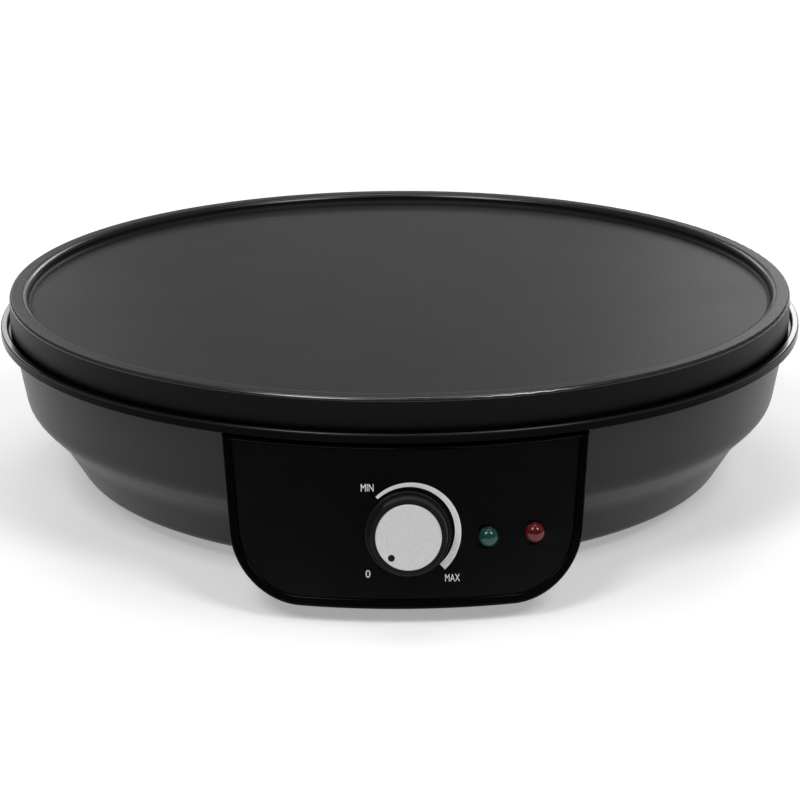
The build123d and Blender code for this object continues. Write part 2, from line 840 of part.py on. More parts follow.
with BuildPart() as control_housing:
    extrude(panel_outline(0, 0), amount=panel_reach, dir=toward_user)
    add(cone_section())
    revolve(axis=Axis.Z, mode=Mode.INTERSECT)
    front_edges = control_housing.edges().sort_by(Axis.Y)[:5]
    fillet([edge for edge in front_edges if edge.center().Z < panel_top - bezel_round], bezel_round)
    add(fascia_space.part, mode=Mode.SUBTRACT)
    fillet([edge for edge in control_housing.edges() if borders_fascia(edge)], bezel_inner_round)
    add(control_cavity.part, mode=Mode.SUBTRACT)
    add(bowl_space.part, mode=Mode.SUBTRACT)
    add(control_bosses.part)
    for side, level, length in housing_screw_spots:
        with BuildSketch(Plane.XZ.offset(housing_screw_pad(side, level))):
            with Locations((side, level)):
                Circle(small_thread_radius)
        extrude(amount=length, mode=Mode.SUBTRACT)
    for lamp_plane in lamp_planes.values():
        with BuildSketch(lamp_plane.offset(-2 * lamp_boss_depth)):
            Circle(lens_radius + trim_gap)
        extrude(amount=4 * lamp_boss_depth, mode=Mode.SUBTRACT)
        with BuildSketch(lamp_plane.offset(-2 * lamp_boss_depth)):
            Circle(lamp_boss_inner)
        extrude(amount=2 * lamp_boss_depth - lens_flange_depth + trim_gap, mode=Mode.SUBTRACT)
    with BuildSketch(knob_plane.offset(-lamp_boss_depth)):
        Circle(spindle_radius + hole_gap)
    extrude(amount=2 * lamp_boss_depth, mode=Mode.SUBTRACT)
write("control_housing", control_housing.part)

with BuildPart() as fascia_panel:
    fascia_outline = panel_outline(bezel_width + trim_gap, bezel_top_width + trim_gap)
    extrude(fascia_outline, amount=panel_reach, dir=toward_user)
    add(cone_section(fascia_recess))
    revolve(axis=Axis.Z, mode=Mode.INTERSECT)
    add(cone_section(fascia_pocket - seat_gap))
    revolve(axis=Axis.Z, mode=Mode.SUBTRACT)
    for hole_plane, hole_radius in [(knob_plane, spindle_radius + hole_gap)] + [
        (plane, lens_radius + trim_gap) for plane in lamp_planes.values()
    ]:
        with BuildSketch(hole_plane.offset(-lamp_boss_depth)):
            Circle(hole_radius)
        extrude(amount=2 * lamp_boss_depth, mode=Mode.SUBTRACT)
    lens_hole_radius = lens_radius + trim_gap
    for lamp_plane in lamp_planes.values():
        with Locations(lamp_plane.offset(-2 * lens_countersink)):
            Cone(
                lens_hole_radius - lens_countersink,
                lens_hole_radius + 2 * lens_countersink,
                3 * lens_countersink,
                align=(Align.CENTER, Align.CENTER, Align.MIN),
                mode=Mode.SUBTRACT,
            )
write("fascia_panel", fascia_panel.part)

with BuildPart() as control_housing_screws:
    for side, level, length in housing_screw_spots:
        seat = housing_screw_pad(side, level)
        with BuildSketch(Plane.XZ.offset(seat)):
            with Locations((side, level)):
                Circle(small_screw_radius)
        extrude(amount=length - hole_gap)
        with BuildSketch(Plane.XZ.offset(seat)):
            with Locations((side, level)):
                Circle(small_screw_head_radius)
        extrude(amount=-small_screw_head_height)
write("control_housing_screws", control_housing_screws.part)

for colour, lamp_plane in lamp_planes.items():
    with BuildPart() as lens:
        with BuildSketch(Plane(lamp_plane.origin, x_dir=lamp_plane.z_dir, z_dir=lamp_plane.x_dir)) as section:
            with BuildLine():
                dome_top = lens_proud + dome_height
                Polyline(
                    (lens_proud, lens_radius),
                    (-lens_flange_depth, lens_radius),
                    (-lens_flange_depth, lens_flange_radius),
                    (-lens_flange_depth - lens_flange_thickness, lens_flange_radius),
                    (-lens_flange_depth - lens_flange_thickness, neon_radius + trim_gap),
                    (0, neon_radius + trim_gap),
                    (0, 0),
                    (dome_top, 0),
                )
                ThreePointArc(
                    (dome_top, 0),
                    (lens_proud + dome_height * sin(radians(45)), lens_radius * cos(radians(45))),
                    (lens_proud, lens_radius),
                )
            make_face()
        revolve(axis=Axis(lamp_plane.origin, lamp_plane.z_dir))
    write(f"lamp_lens_{colour}", lens.part)

neon_back = -(lens_flange_depth + lens_flange_thickness) - neon_length / 2
cap_back = neon_back - lamp_boss_wall
lead_offset = neon_radius / 2

with BuildPart() as lamp_caps:
    for lamp_plane in lamp_planes.values():
        with BuildSketch(lamp_plane.offset(cap_back)):
            Circle(lens_flange_radius)
            with Locations((-lead_offset, 0), (lead_offset, 0)):
                Circle(lamp_lead_radius + seat_gap, mode=Mode.SUBTRACT)
        extrude(amount=lamp_boss_wall)
        with BuildSketch(lamp_plane.offset(neon_back)):
            Circle(lens_flange_radius)
            Circle(neon_radius + seat_gap, mode=Mode.SUBTRACT)
        extrude(amount=neon_length / 2 - seat_gap)
write("lamp_caps", lamp_caps.part)

with BuildPart() as neon_lamps:
    for lamp_plane in lamp_planes.values():
        with BuildSketch(lamp_plane.offset(neon_back + seat_gap)):
            Circle(neon_radius)
        extrude(amount=neon_length)
    fillet(neon_lamps.edges().group_by(Axis.Y)[0], neon_radius / 2)
write("neon_lamps", neon_lamps.part)

# ---------------------------------------------------------------------------------------------
# Knob
# ---------------------------------------------------------------------------------------------

knob_axis = Axis(knob_plane.origin, knob_plane.z_dir)
knob_section = Plane(knob_plane.origin, x_dir=knob_plane.z_dir, z_dir=knob_plane.x_dir)
cap_seat = knob_height - cap_thickness + cap_proud
bore_radius = spindle_radius + running_gap
spindle_flat = spindle_radius - spindle_flat_depth
bore_flat = spindle_flat + spring_thickness + 2 * seat_gap
pointer_spot = (
    pointer_circle_radius * cos(radians(pointer_rest_angle)),
    pointer_circle_radius * sin(radians(pointer_rest_angle)),
)

with BuildPart() as control_knob:
    with BuildSketch(knob_section):
        with BuildLine():
            hollow_front = cap_seat - knob_wall
            FilletPolyline(
                (knob_gap, knob_skirt_radius),
                (knob_gap + knob_skirt_height, knob_skirt_radius),
                (knob_gap + knob_skirt_height, knob_body_radius),
                (knob_height, knob_front_radius),
                (knob_height, cap_radius + seat_gap),
                (cap_seat, cap_radius + seat_gap),
                (cap_seat, 0),
                (knob_gap, 0),
                (knob_gap, knob_hub_radius),
                (hollow_front, knob_hub_radius),
                (hollow_front, knob_front_radius - knob_wall),
                (knob_gap, knob_body_radius - knob_wall),
                radius=[0, knob_edge_round, 0, knob_edge_round, 0, 0, 0, 0, 0, 0, 0, 0],
                close=True,
            )
        make_face()
    revolve(axis=knob_axis)
    with BuildSketch(knob_plane.offset(cap_seat)):
        with Locations(pointer_spot):
            Circle(pointer_radius)
    extrude(amount=cap_thickness + seat_gap)
    with BuildSketch(knob_plane.offset(knob_gap)):
        Circle(bore_radius)
        with Locations((0, bore_flat + bore_radius)):
            Rectangle(2 * bore_radius, 2 * bore_radius, mode=Mode.SUBTRACT)
    extrude(amount=spindle_tip - knob_gap + hole_gap, mode=Mode.SUBTRACT)
write("control_knob", control_knob.part)

with BuildPart() as knob_cap:
    with BuildSketch(knob_plane.offset(cap_seat)):
        Circle(cap_radius)
        with Locations(pointer_spot):
            Circle(pointer_radius + seat_gap, mode=Mode.SUBTRACT)
    extrude(amount=cap_thickness)
    rim = knob_cap.edges().filter_by(GeomType.CIRCLE).sort_by(SortBy.RADIUS)[-2:]
    chamfer(rim.sort_by(knob_axis)[-1], cap_proud)
write("knob_cap", knob_cap.part)

with BuildPart() as knob_spring:
    with BuildSketch(knob_plane.offset(knob_gap)):
        with Locations((0, (spindle_flat + bore_flat) / 2)):
            Rectangle(spring_width, spring_thickness)
    extrude(amount=spindle_tip - knob_gap)
write("knob_spring", knob_spring.part)

# ---------------------------------------------------------------------------------------------
# Thermostat
# ---------------------------------------------------------------------------------------------

bracket_front = -thermostat_depth
bush_back = bracket_back - bush_head_height
bush_front = bracket_front + bush_front_length
collar_front = bush_back - hole_gap
spindle_back = collar_front - collar_thickness
clip_back = bush_front + hole_gap
plunger_tip = spindle_back - plunger_reach
adjusting_front = plunger_tip - plunger_travel - seat_gap
adjusting_back = adjusting_front - adjusting_blade_thickness
contact_front = adjusting_back - 2 * contact_thickness - contact_gap
contact_back = contact_front - contact_blade_thickness
bimetal_front = contact_back - ceramic_thickness
bimetal_back = bimetal_front - bimetal_thickness
stack_back = bimetal_back - ceramic_thickness / 2
stack_spot = (-stack_side, 0)
blade_start = -stack_side - blade_half_width
contact_spot = (blade_reach - contact_radius, 0)
transfer_spot = (blade_reach - 4 * contact_radius, 0)
stack_hole_radius = rivet_radius + hole_gap

with BuildPart() as thermostat_spindle:
    with BuildSketch(knob_plane.offset(spindle_back)):
        Circle(spindle_radius)
    extrude(amount=spindle_tip - spindle_back)
    with BuildSketch(knob_plane.offset(spindle_back)):
        Circle(collar_radius)
    extrude(amount=collar_thickness)
    with BuildSketch(knob_plane.offset(-knob_gap)):
        with Locations((0, spindle_flat + spindle_radius)):
            Rectangle(2 * spindle_radius, 2 * spindle_radius)
    extrude(amount=spindle_tip + 2 * knob_gap, mode=Mode.SUBTRACT)
    with BuildSketch(knob_plane.offset(clip_back)):
        Circle(spindle_radius)
        Circle(spindle_radius - clip_groove_depth, mode=Mode.SUBTRACT)
    extrude(amount=clip_thickness + 2 * seat_gap, mode=Mode.SUBTRACT)
    with BuildSketch(knob_plane.offset(spindle_back)):
        Circle(plunger_radius + running_gap)
    extrude(amount=2 * plunger_reach, mode=Mode.SUBTRACT)
write("thermostat_spindle", thermostat_spindle.part)

with BuildPart() as spindle_clip:
    with BuildSketch(knob_plane.offset(clip_back + seat_gap)):
        Circle(collar_radius)
        Circle(spindle_radius - clip_groove_depth + seat_gap, mode=Mode.SUBTRACT)
        with Locations((0, -collar_radius)):
            Rectangle(spindle_radius, 2 * spindle_radius, mode=Mode.SUBTRACT)
    extrude(amount=clip_thickness)
write("spindle_clip", spindle_clip.part)

with BuildPart() as adjusting_plunger:
    with BuildSketch(knob_plane.offset(plunger_tip)):
        Circle(plunger_radius)
    extrude(amount=2 * plunger_reach)
    chamfer(adjusting_plunger.edges().sort_by(knob_axis)[0], plunger_radius / 3)
write("adjusting_plunger", adjusting_plunger.part)

with BuildPart() as thermostat_bush:
    with BuildSketch(knob_plane.offset(bush_back)):
        RegularPolygon(bush_head_radius, 6, major_radius=False)
    extrude(amount=bush_head_height)
    with BuildSketch(knob_plane.offset(bracket_back)):
        Circle(bush_radius)
    extrude(amount=bush_front - bracket_back)
    chamfer(thermostat_bush.edges().sort_by(knob_axis)[-1], collar_thickness / 2)
    with BuildSketch(knob_plane.offset(bush_back)):
        Circle(bore_radius)
    extrude(amount=bush_front - bush_back, mode=Mode.SUBTRACT)
write("thermostat_bush", thermostat_bush.part)

with BuildPart() as thermostat_bush_nut:
    with BuildSketch(knob_plane.offset(bracket_front)):
        RegularPolygon(nut_flats / 2, 6, major_radius=False)
        Circle(bush_radius + thread_gap, mode=Mode.SUBTRACT)
    extrude(amount=nut_height)
write("thermostat_bush_nut", thermostat_bush_nut.part)

bracket_width = bracket_left + bracket_right
bracket_middle = (bracket_right - bracket_left) / 2

with BuildPart() as thermostat_bracket:
    with BuildSketch(knob_plane.offset(bracket_back)):
        with Locations((bracket_middle, (bracket_rise - bracket_below) / 2)):
            Rectangle(bracket_width, bracket_rise + bracket_below)
        Circle(bush_radius + seat_gap, mode=Mode.SUBTRACT)
        with Locations(stack_spot):
            Circle(rivet_radius + seat_gap, mode=Mode.SUBTRACT)
    extrude(amount=bracket_thickness)
    with BuildSketch(Plane.XY.offset(reflector_bottom - bracket_thickness)):
        flange_middle = bracket_corner.Y + (bracket_flange_length - bracket_thickness) / 2
        with Locations((knob_side_offset + bracket_middle, flange_middle)):
            Rectangle(bracket_width, bracket_flange_length + bracket_thickness)
        with Locations(*bracket_screw_spots):
            Circle(small_hole_radius, mode=Mode.SUBTRACT)
    extrude(amount=bracket_thickness)
write("thermostat_bracket", thermostat_bracket.part)

thermostat_bracket_screws = screws_up(
    bracket_screw_spots,
    reflector_bottom - bracket_thickness,
    small_screw_length,
    small_screw_radius,
    small_screw_head_radius,
    small_screw_head_height,
)
write("thermostat_bracket_screws", thermostat_bracket_screws)

ring_spans = [
    (bracket_back, (bracket_back + adjusting_front) / 2),
    ((bracket_back + adjusting_front) / 2, adjusting_front),
    (adjusting_back, contact_front),
    (contact_back, bimetal_front),
    (bimetal_back, stack_back),
]

with BuildPart() as thermostat_insulators:
    for ring_front, ring_back in ring_spans:
        with BuildSketch(knob_plane.offset(ring_back + seat_gap / 2)):
            with Locations(stack_spot):
                Circle(ceramic_radius)
                Circle(rivet_radius + seat_gap, mode=Mode.SUBTRACT)
        extrude(amount=ring_front - ring_back - seat_gap)
write("thermostat_insulators", thermostat_insulators.part)


def blade(back, thickness, start, tab_up):
    """Leaf of the switch stack, with its hole and, if asked for, a tab that stands up beside the stack."""
    with BuildPart() as leaf:
        with BuildSketch(knob_plane.offset(back)):
            with Locations(((start + blade_reach) / 2, 0)):
                Rectangle(blade_reach - start, 2 * blade_half_width)
            if tab_up:
                with Locations((-stack_side, tab_up / 2)):
                    Rectangle(2 * blade_half_width, tab_up)
            with Locations(stack_spot):
                Circle(stack_hole_radius, mode=Mode.SUBTRACT)
        extrude(amount=thickness)
    return leaf.part


tab_end = blade_start - tab_length
tab_top = blade_half_width + tab_length
write("adjusting_blade", blade(adjusting_back, adjusting_blade_thickness, tab_end, 0))
write("contact_blade", blade(contact_back, contact_blade_thickness, blade_start, tab_top))

with BuildPart() as bimetal_strip:
    add(blade(bimetal_back, bimetal_thickness, blade_start, 0))
    with BuildSketch(knob_plane.offset(bimetal_back)):
        with Locations(transfer_spot):
            Circle(plunger_radius / 2 + seat_gap)
    extrude(amount=bimetal_thickness, mode=Mode.SUBTRACT)
write("bimetal_strip", bimetal_strip.part)

with BuildPart() as transfer_pin:
    with BuildSketch(knob_plane.offset(bimetal_back - seat_gap)):
        with Locations(transfer_spot):
            Circle(plunger_radius / 2)
    extrude(amount=contact_back - bimetal_back)
write("transfer_pin", transfer_pin.part)

with BuildPart() as thermostat_contacts:
    with BuildSketch(knob_plane.offset(adjusting_back - contact_thickness)):
        with Locations(contact_spot):
            Circle(contact_radius)
    extrude(amount=contact_thickness)
    with BuildSketch(knob_plane.offset(contact_front)):
        with Locations(contact_spot):
            Circle(contact_radius)
    extrude(amount=contact_thickness)
write("thermostat_contacts", thermostat_contacts.part)

with BuildPart() as thermostat_rivet:
    with BuildSketch(knob_plane.offset(stack_back - rivet_head_height)):
        with Locations(stack_spot):
            Circle(rivet_head_radius)
    extrude(amount=rivet_head_height)
    with BuildSketch(knob_plane.offset(stack_back)):
        with Locations(stack_spot):
            Circle(rivet_radius)
    extrude(amount=bracket_front - stack_back)
    with BuildSketch(knob_plane.offset(bracket_front)):
        with Locations(stack_spot):
            Circle(rivet_head_radius)
    extrude(amount=rivet_head_height)
write("thermostat_rivet", thermostat_rivet.part)

# ---------------------------------------------------------------------------------------------
# Crimp terminals on the thermostat's tabs and the element's pins
# ---------------------------------------------------------------------------------------------

crimp_half_width = blade_half_width + seat_gap + crimp_wall
crimp_length = tab_length - (ceramic_radius - blade_half_width) - 2 * plate_gap
pin_crimp_half = element_pin_radius + seat_gap + crimp_wall
pin_crimp_top = pin_bottom + pin_crimp_length

with BuildPart() as crimp_terminals:
    # On the adjusting blade's tab, open to the right.
    with BuildSketch(knob_plane.offset(adjusting_back - seat_gap - crimp_wall)):
        with Locations((tab_end - crimp_wall + crimp_length / 2, 0)):
            Rectangle(crimp_length, 2 * crimp_half_width)
    extrude(amount=adjusting_blade_thickness + 2 * (seat_gap + crimp_wall))
    with BuildSketch(knob_plane.offset(adjusting_back - seat_gap)):
        with Locations((tab_end - seat_gap + crimp_length / 2, 0)):
            Rectangle(crimp_length, 2 * (blade_half_width + seat_gap))
    extrude(amount=adjusting_blade_thickness + 2 * seat_gap, mode=Mode.SUBTRACT)
    # On the contact blade's tab, open downward.
    with BuildSketch(knob_plane.offset(contact_back - seat_gap - crimp_wall)):
        with Locations((-stack_side, tab_top + crimp_wall - crimp_length / 2)):
            Rectangle(2 * crimp_half_width, crimp_length)
    extrude(amount=contact_blade_thickness + 2 * (seat_gap + crimp_wall))
    with BuildSketch(knob_plane.offset(contact_back - seat_gap)):
        with Locations((-stack_side, tab_top + seat_gap - crimp_length / 2)):
            Rectangle(2 * (blade_half_width + seat_gap), crimp_length)
    extrude(amount=contact_blade_thickness + 2 * seat_gap, mode=Mode.SUBTRACT)
    # Round the element's cold pins.
    with BuildSketch(Plane.XY.offset(pin_bottom)):
        with Locations(*pin_spots):
            Rectangle(2 * pin_crimp_half, 2 * pin_crimp_half)
            Circle(element_pin_radius + seat_gap, mode=Mode.SUBTRACT)
    extrude(amount=pin_crimp_top - pin_bottom)
write("crimp_terminals", crimp_terminals.part)

# ---------------------------------------------------------------------------------------------
# Thermal fuse, earth tab, terminal block and cord inlet
# ---------------------------------------------------------------------------------------------

fuse_plane = Plane(origin=(fuse_offset, 0, fuse_level), x_dir=(1, 0, 0), z_dir=(0, -1, 0))

with BuildPart() as thermal_fuse:
    with BuildSketch(fuse_plane.offset(-fuse_body_length / 2)):
        Circle(fuse_radius)
    extrude(amount=fuse_body_length)
    fillet(thermal_fuse.edges().filter_by(GeomType.CIRCLE), fuse_radius / 4)
write("thermal_fuse", thermal_fuse.part)

with BuildPart() as fuse_sleeve:
    with BuildSketch(fuse_plane.offset(-fuse_length / 2)):
        Circle(fuse_sleeve_radius)
        Circle(fuse_radius + seat_gap, mode=Mode.SUBTRACT)
    extrude(amount=fuse_length)
write("fuse_sleeve", fuse_sleeve.part)

clip_inner = fuse_sleeve_radius + seat_gap
clip_outer = clip_inner + fuse_clip_thickness
clip_middle = (clip_inner + clip_outer) / 2
clip_ear_end = fuse_clip_side - fuse_offset + small_screw_head_radius

with BuildPart() as fuse_clip:
    with BuildSketch(fuse_plane.offset(-fuse_clip_width / 2)):
        Circle(clip_outer)
        with Locations((0, clip_outer)):
            Rectangle(2 * clip_outer, 2 * clip_outer, mode=Mode.SUBTRACT)
        with Locations((-clip_middle, clip_inner / 2), (clip_middle, clip_inner / 2)):
            Rectangle(fuse_clip_thickness, clip_inner)
        with Locations(((clip_inner + clip_ear_end) / 2, clip_inner - fuse_clip_thickness / 2)):
            Rectangle(clip_ear_end - clip_inner, fuse_clip_thickness)
        Circle(clip_inner, mode=Mode.SUBTRACT)
    extrude(amount=fuse_clip_width)
    with BuildSketch(Plane.XY.offset(fuse_level)):
        with Locations((fuse_clip_side, 0)):
            Circle(small_hole_radius)
    extrude(amount=2 * clip_outer, mode=Mode.SUBTRACT)
write("fuse_clip", fuse_clip.part)

fuse_clip_seat = fuse_level + clip_inner - fuse_clip_thickness
fuse_clip_screw = screws_up(
    [(fuse_clip_side, 0)],
    fuse_clip_seat,
    reflector_top + 2 * small_screw_head_height - fuse_clip_seat,
    small_screw_radius,
    small_screw_head_radius,
    small_screw_head_height,
)
write("fuse_clip_screw", fuse_clip_screw)

with BuildPart() as fuse_clip_nut:
    with BuildSketch(Plane.XY.offset(reflector_top)):
        with Locations((fuse_clip_side, 0)):
            RegularPolygon(small_screw_head_radius, 6, major_radius=False)
            Circle(small_thread_radius, mode=Mode.SUBTRACT)
    extrude(amount=small_screw_head_height)
write("fuse_clip_nut", fuse_clip_nut.part)

earth_x, earth_y = earth_spot
earth_tab_bottom = reflector_bottom - crimp_wall
earth_lead_y = earth_y - earth_tab_length + earth_tab_width

with BuildPart() as earth_tab:
    with BuildSketch(Plane.XY.offset(earth_tab_bottom)):
        with Locations((earth_x, earth_y + (earth_tab_width - earth_tab_length) / 2)):
            RectangleRounded(earth_tab_width, earth_tab_length, earth_tab_width / 4)
        with Locations(earth_spot):
            Circle(small_hole_radius, mode=Mode.SUBTRACT)
    extrude(amount=crimp_wall)
write("earth_tab", earth_tab.part)

earth_screw = screws_up(
    [earth_spot],
    earth_tab_bottom,
    small_screw_length,
    small_screw_radius,
    small_screw_head_radius,
    small_screw_head_height,
)
write("earth_screw", earth_screw)

pole_sides = [-pole_pitch, 0, pole_pitch]
port_level = block_base + port_height
port_radius = lead_radius + hole_gap
terminal_screw_shift = block_depth / 4
terminal_screw_spots = [
    (side, block_distance + shift)
    for side in pole_sides
    for shift in (-terminal_screw_shift, terminal_screw_shift)
]

with BuildPart() as terminal_block:
    with BuildSketch(Plane.XY.offset(block_base)):
        with Locations((0, block_distance)):
            Rectangle(3 * pole_pitch - hole_gap, block_depth)
    extrude(amount=block_height)
    chamfer(terminal_block.edges().group_by(Axis.Z)[-1], crimp_wall)
    with BuildSketch(Plane.XY.offset(block_base)):
        with Locations((0, block_distance)):
            SlotOverall(block_length, 2 * small_screw_head_radius)
    extrude(amount=block_ear_height)
    with BuildSketch(Plane.XZ.offset(-block_distance)):
        with Locations(*[(side, port_level) for side in pole_sides]):
            Circle(port_radius)
    extrude(amount=block_depth, both=True, mode=Mode.SUBTRACT)
    with BuildSketch(Plane.XY.offset(port_level)):
        with Locations(*terminal_screw_spots):
            Circle(small_thread_radius)
    extrude(amount=block_height, mode=Mode.SUBTRACT)
    with BuildSketch(Plane.XY.offset(block_base)):
        with Locations(*block_screw_spots):
            Circle(small_hole_radius)
    extrude(amount=block_height, mode=Mode.SUBTRACT)
write("terminal_block", terminal_block.part)


def screws_down(spots, seat, length):
    """Small screws that run downward from the level their heads seat on."""
    with BuildPart() as screws:
        with BuildSketch(Plane.XY.offset(seat)):
            with Locations(*spots):
                Circle(small_screw_head_radius)
        extrude(amount=small_screw_head_height)
        with BuildSketch(Plane.XY.offset(seat - length)):
            with Locations(*spots):
                Circle(small_screw_radius)
        extrude(amount=length)
    return screws.part


block_seat = block_base + block_ear_height
block_screw_length = block_seat - floor_level - seat_gap
write("terminal_block_screws", screws_down(block_screw_spots, block_seat, block_screw_length))

with BuildPart() as terminal_screws:
    screw_end = port_level + lead_radius + seat_gap
    with BuildSketch(Plane.XY.offset(screw_end)):
        with Locations(*terminal_screw_spots):
            Circle(small_screw_radius)
    extrude(amount=block_base + block_height - screw_end - crimp_wall)
write("terminal_screws", terminal_screws.part)

gland_plane = Plane(origin=(0, gland_seat, gland_level), x_dir=(-1, 0, 0), z_dir=(0, 1, 0))
gland_depth = gland_seat - gland_inner_end
gland_total = gland_depth + 2 * gland_flange_thickness

with BuildPart() as cord_gland:
    with BuildSketch(gland_plane.offset(gland_flange_thickness - gland_total)):
        Circle(gland_body_radius)
    extrude(amount=gland_total)
    with BuildSketch(gland_plane.offset(gland_flange_thickness - gland_total)):
        Circle(gland_body_radius + gland_barb)
    extrude(amount=gland_flange_thickness - seat_gap)
    with BuildSketch(gland_plane.offset(seat_gap)):
        Circle(gland_flange_radius)
    extrude(amount=gland_flange_thickness - seat_gap)
    chamfer(cord_gland.edges().group_by(Axis.Y)[-1], gland_flange_thickness / 3)
    with BuildSketch(gland_plane.offset(gland_flange_thickness - gland_total)):
        Circle(gland_bore_radius)
    extrude(amount=gland_total, mode=Mode.SUBTRACT)
write("cord_gland", cord_gland.part)

with BuildPart() as cord_clamp:
    with BuildSketch(Plane.XZ.offset(-cord_clamp_distance - cord_clamp_width / 2)):
        with Locations((0, clamp_top + cord_clamp_bar / 2)):
            Rectangle(2 * (clamp_side + small_screw_head_radius), cord_clamp_bar)
        with Locations((0, gland_level)):
            Circle(gland_bore_radius + cord_clamp_bar)
            Circle(gland_bore_radius - trim_gap, mode=Mode.SUBTRACT)
        with Locations((0, clamp_top - gland_pad_radius)):
            Rectangle(4 * gland_pad_radius, 2 * gland_pad_radius, mode=Mode.SUBTRACT)
    extrude(amount=cord_clamp_width)
    with BuildSketch(Plane.XY.offset(clamp_top)):
        with Locations(*clamp_spots):
            Circle(small_hole_radius)
    extrude(amount=2 * cord_clamp_bar, mode=Mode.SUBTRACT)
write("cord_clamp", cord_clamp.part)
write("cord_clamp_screws", screws_down(clamp_spots, clamp_top + cord_clamp_bar, small_screw_length))

# ---------------------------------------------------------------------------------------------
# Leads: straight runs joined by tangent arcs
# ---------------------------------------------------------------------------------------------


def lead(points, wire_radius, bend_radius):
    """Insulated lead along a route of points, rounded at each inner one."""
    with BuildPart() as wire:
        with BuildLine() as route:
            FilletPolyline(*points, radius=bend_radius)
        with BuildSketch(Plane(origin=route.line @ 0, z_dir=route.line % 0)):
            Circle(wire_radius)
        sweep(path=route.wires()[0])
    return wire.part


lead_bend = 6 * lead_radius
lamp_lead_bend = 6 * lamp_lead_radius
port_front = block_distance - block_depth / 4
lead_gap = 2 * seat_gap
pin_left, pin_right = sorted(pin_spots, key=lambda spot: spot.X)
pin_lead_level = (pin_bottom + pin_crimp_top) / 2
adjusting_middle = adjusting_back + adjusting_blade_thickness / 2
contact_middle = contact_back + contact_blade_thickness / 2
adjusting_tip = on_plane(knob_plane, tab_end - crimp_wall - lead_gap, 0, adjusting_middle)
contact_tip = on_plane(knob_plane, -stack_side, tab_top + crimp_wall + lead_gap, contact_middle)
contact_rise = on_plane(knob_plane, -stack_side, tab_top + 2 * lead_bend, contact_middle)
run_level = port_level
block_clear = port_front - block_depth
side_run = adjusting_tip.X - 4 * lead_bend

live_points = [
    (-pole_pitch, port_front, run_level),
    (-pole_pitch, block_clear, run_level),
    (side_run, block_clear / 3, run_level),
    (side_run, adjusting_tip.Y + 3 * lead_bend, run_level),
    (side_run + 2 * lead_bend, adjusting_tip.Y, adjusting_tip.Z),
    (adjusting_tip.X, adjusting_tip.Y, adjusting_tip.Z),
]
write("live_lead", lead(live_points, lead_radius, lead_bend))

switched_points = [
    contact_tip,
    contact_rise,
    (pin_left.X + pin_crimp_half + 2 * lead_bend, pin_left.Y, pin_lead_level),
    (pin_left.X + pin_crimp_half + lead_gap, pin_left.Y, pin_lead_level),
]
write("switched_lead", lead(switched_points, lead_radius, lead_bend / 2))

neutral_points = [
    (pole_pitch, port_front, run_level),
    (pole_pitch, block_clear, run_level),
    (fuse_offset, fuse_length + 3 * lead_bend, run_level + lead_bend),
    (fuse_offset, fuse_length, fuse_level),
    (fuse_offset, fuse_body_length / 2 + lead_gap, fuse_level),
]
write("neutral_lead", lead(neutral_points, lead_radius, lead_bend))

fuse_points = [
    (fuse_offset, -fuse_body_length / 2 - lead_gap, fuse_level),
    (fuse_offset, -fuse_length - lead_bend, fuse_level),
    (pin_right.X, pin_right.Y + pin_crimp_half + 2 * lead_bend, pin_lead_level),
    (pin_right.X, pin_right.Y + pin_crimp_half + lead_gap, pin_lead_level),
]
write("fuse_lead", lead(fuse_points, lead_radius, lead_bend))

earth_points = [
    (earth_x, port_front, run_level),
    (earth_x, earth_lead_y, run_level),
    (earth_x, earth_lead_y, earth_tab_bottom - seat_gap),
]
write("earth_lead", lead(earth_points, lead_radius, lead_bend))


def lamp_start(colour, sign):
    """First two points of a lamp's lead: at the neon's foot and behind its cap."""
    plane = lamp_planes[colour]
    return [
        on_plane(plane, sign * lead_offset, 0, neon_back),
        on_plane(plane, sign * lead_offset, 0, cap_back - 1.5 * lamp_lead_bend),
    ]


lamp_step = 4 * lamp_lead_bend
crossing_y = bracket_corner.Y - lamp_step
upper_run = pin_lead_level - lamp_lead_bend / 2
lower_run = run_level + lamp_lead_bend
live_crimp_face = adjusting_front + seat_gap + crimp_wall + lead_gap
live_crimp_side = tab_end + 2 * crimp_wall
lamp_routes = [
    lamp_start("green", 1)
    + [
        (pin_right.X - lamp_lead_radius, pin_right.Y - lamp_step, pin_lead_level),
        (pin_right.X - lamp_lead_radius, pin_right.Y - pin_crimp_half - lead_gap, pin_lead_level),
    ],
    lamp_start("green", -1)
    + [
        (lamp_offsets["green"] - 2 * lamp_lead_bend, crossing_y, upper_run),
        (pin_left.X + 2 * lamp_lead_bend, crossing_y, upper_run),
        (pin_left.X, pin_left.Y - lamp_step, pin_lead_level),
        (pin_left.X, pin_left.Y - pin_crimp_half - lead_gap, pin_lead_level),
    ],
    lamp_start("red", 1)
    + [
        (pin_right.X + lamp_lead_radius, pin_right.Y - 2 * lamp_step, upper_run),
        (pin_right.X + 3 * lamp_lead_bend, pin_right.Y - lamp_step, upper_run),
        (pin_right.X + 3 * lamp_lead_bend, pin_right.Y, pin_lead_level),
        (pin_right.X + pin_crimp_half + lead_gap, pin_right.Y, pin_lead_level),
    ],
    lamp_start("red", -1)
    + [
        (lamp_offsets["red"] - 2 * lamp_lead_bend, crossing_y, lower_run),
        (knob_side_offset + live_crimp_side + 3 * lamp_lead_bend, crossing_y, lower_run),
        on_plane(knob_plane, live_crimp_side, 0, live_crimp_face + 2 * lamp_lead_bend),
        on_plane(knob_plane, live_crimp_side, 0, live_crimp_face),
    ],
]
with BuildPart() as lamp_leads:
    for route_points in lamp_routes:
        add(lead(route_points, lamp_lead_radius, lamp_lead_bend))
write("lamp_leads", lamp_leads.part)
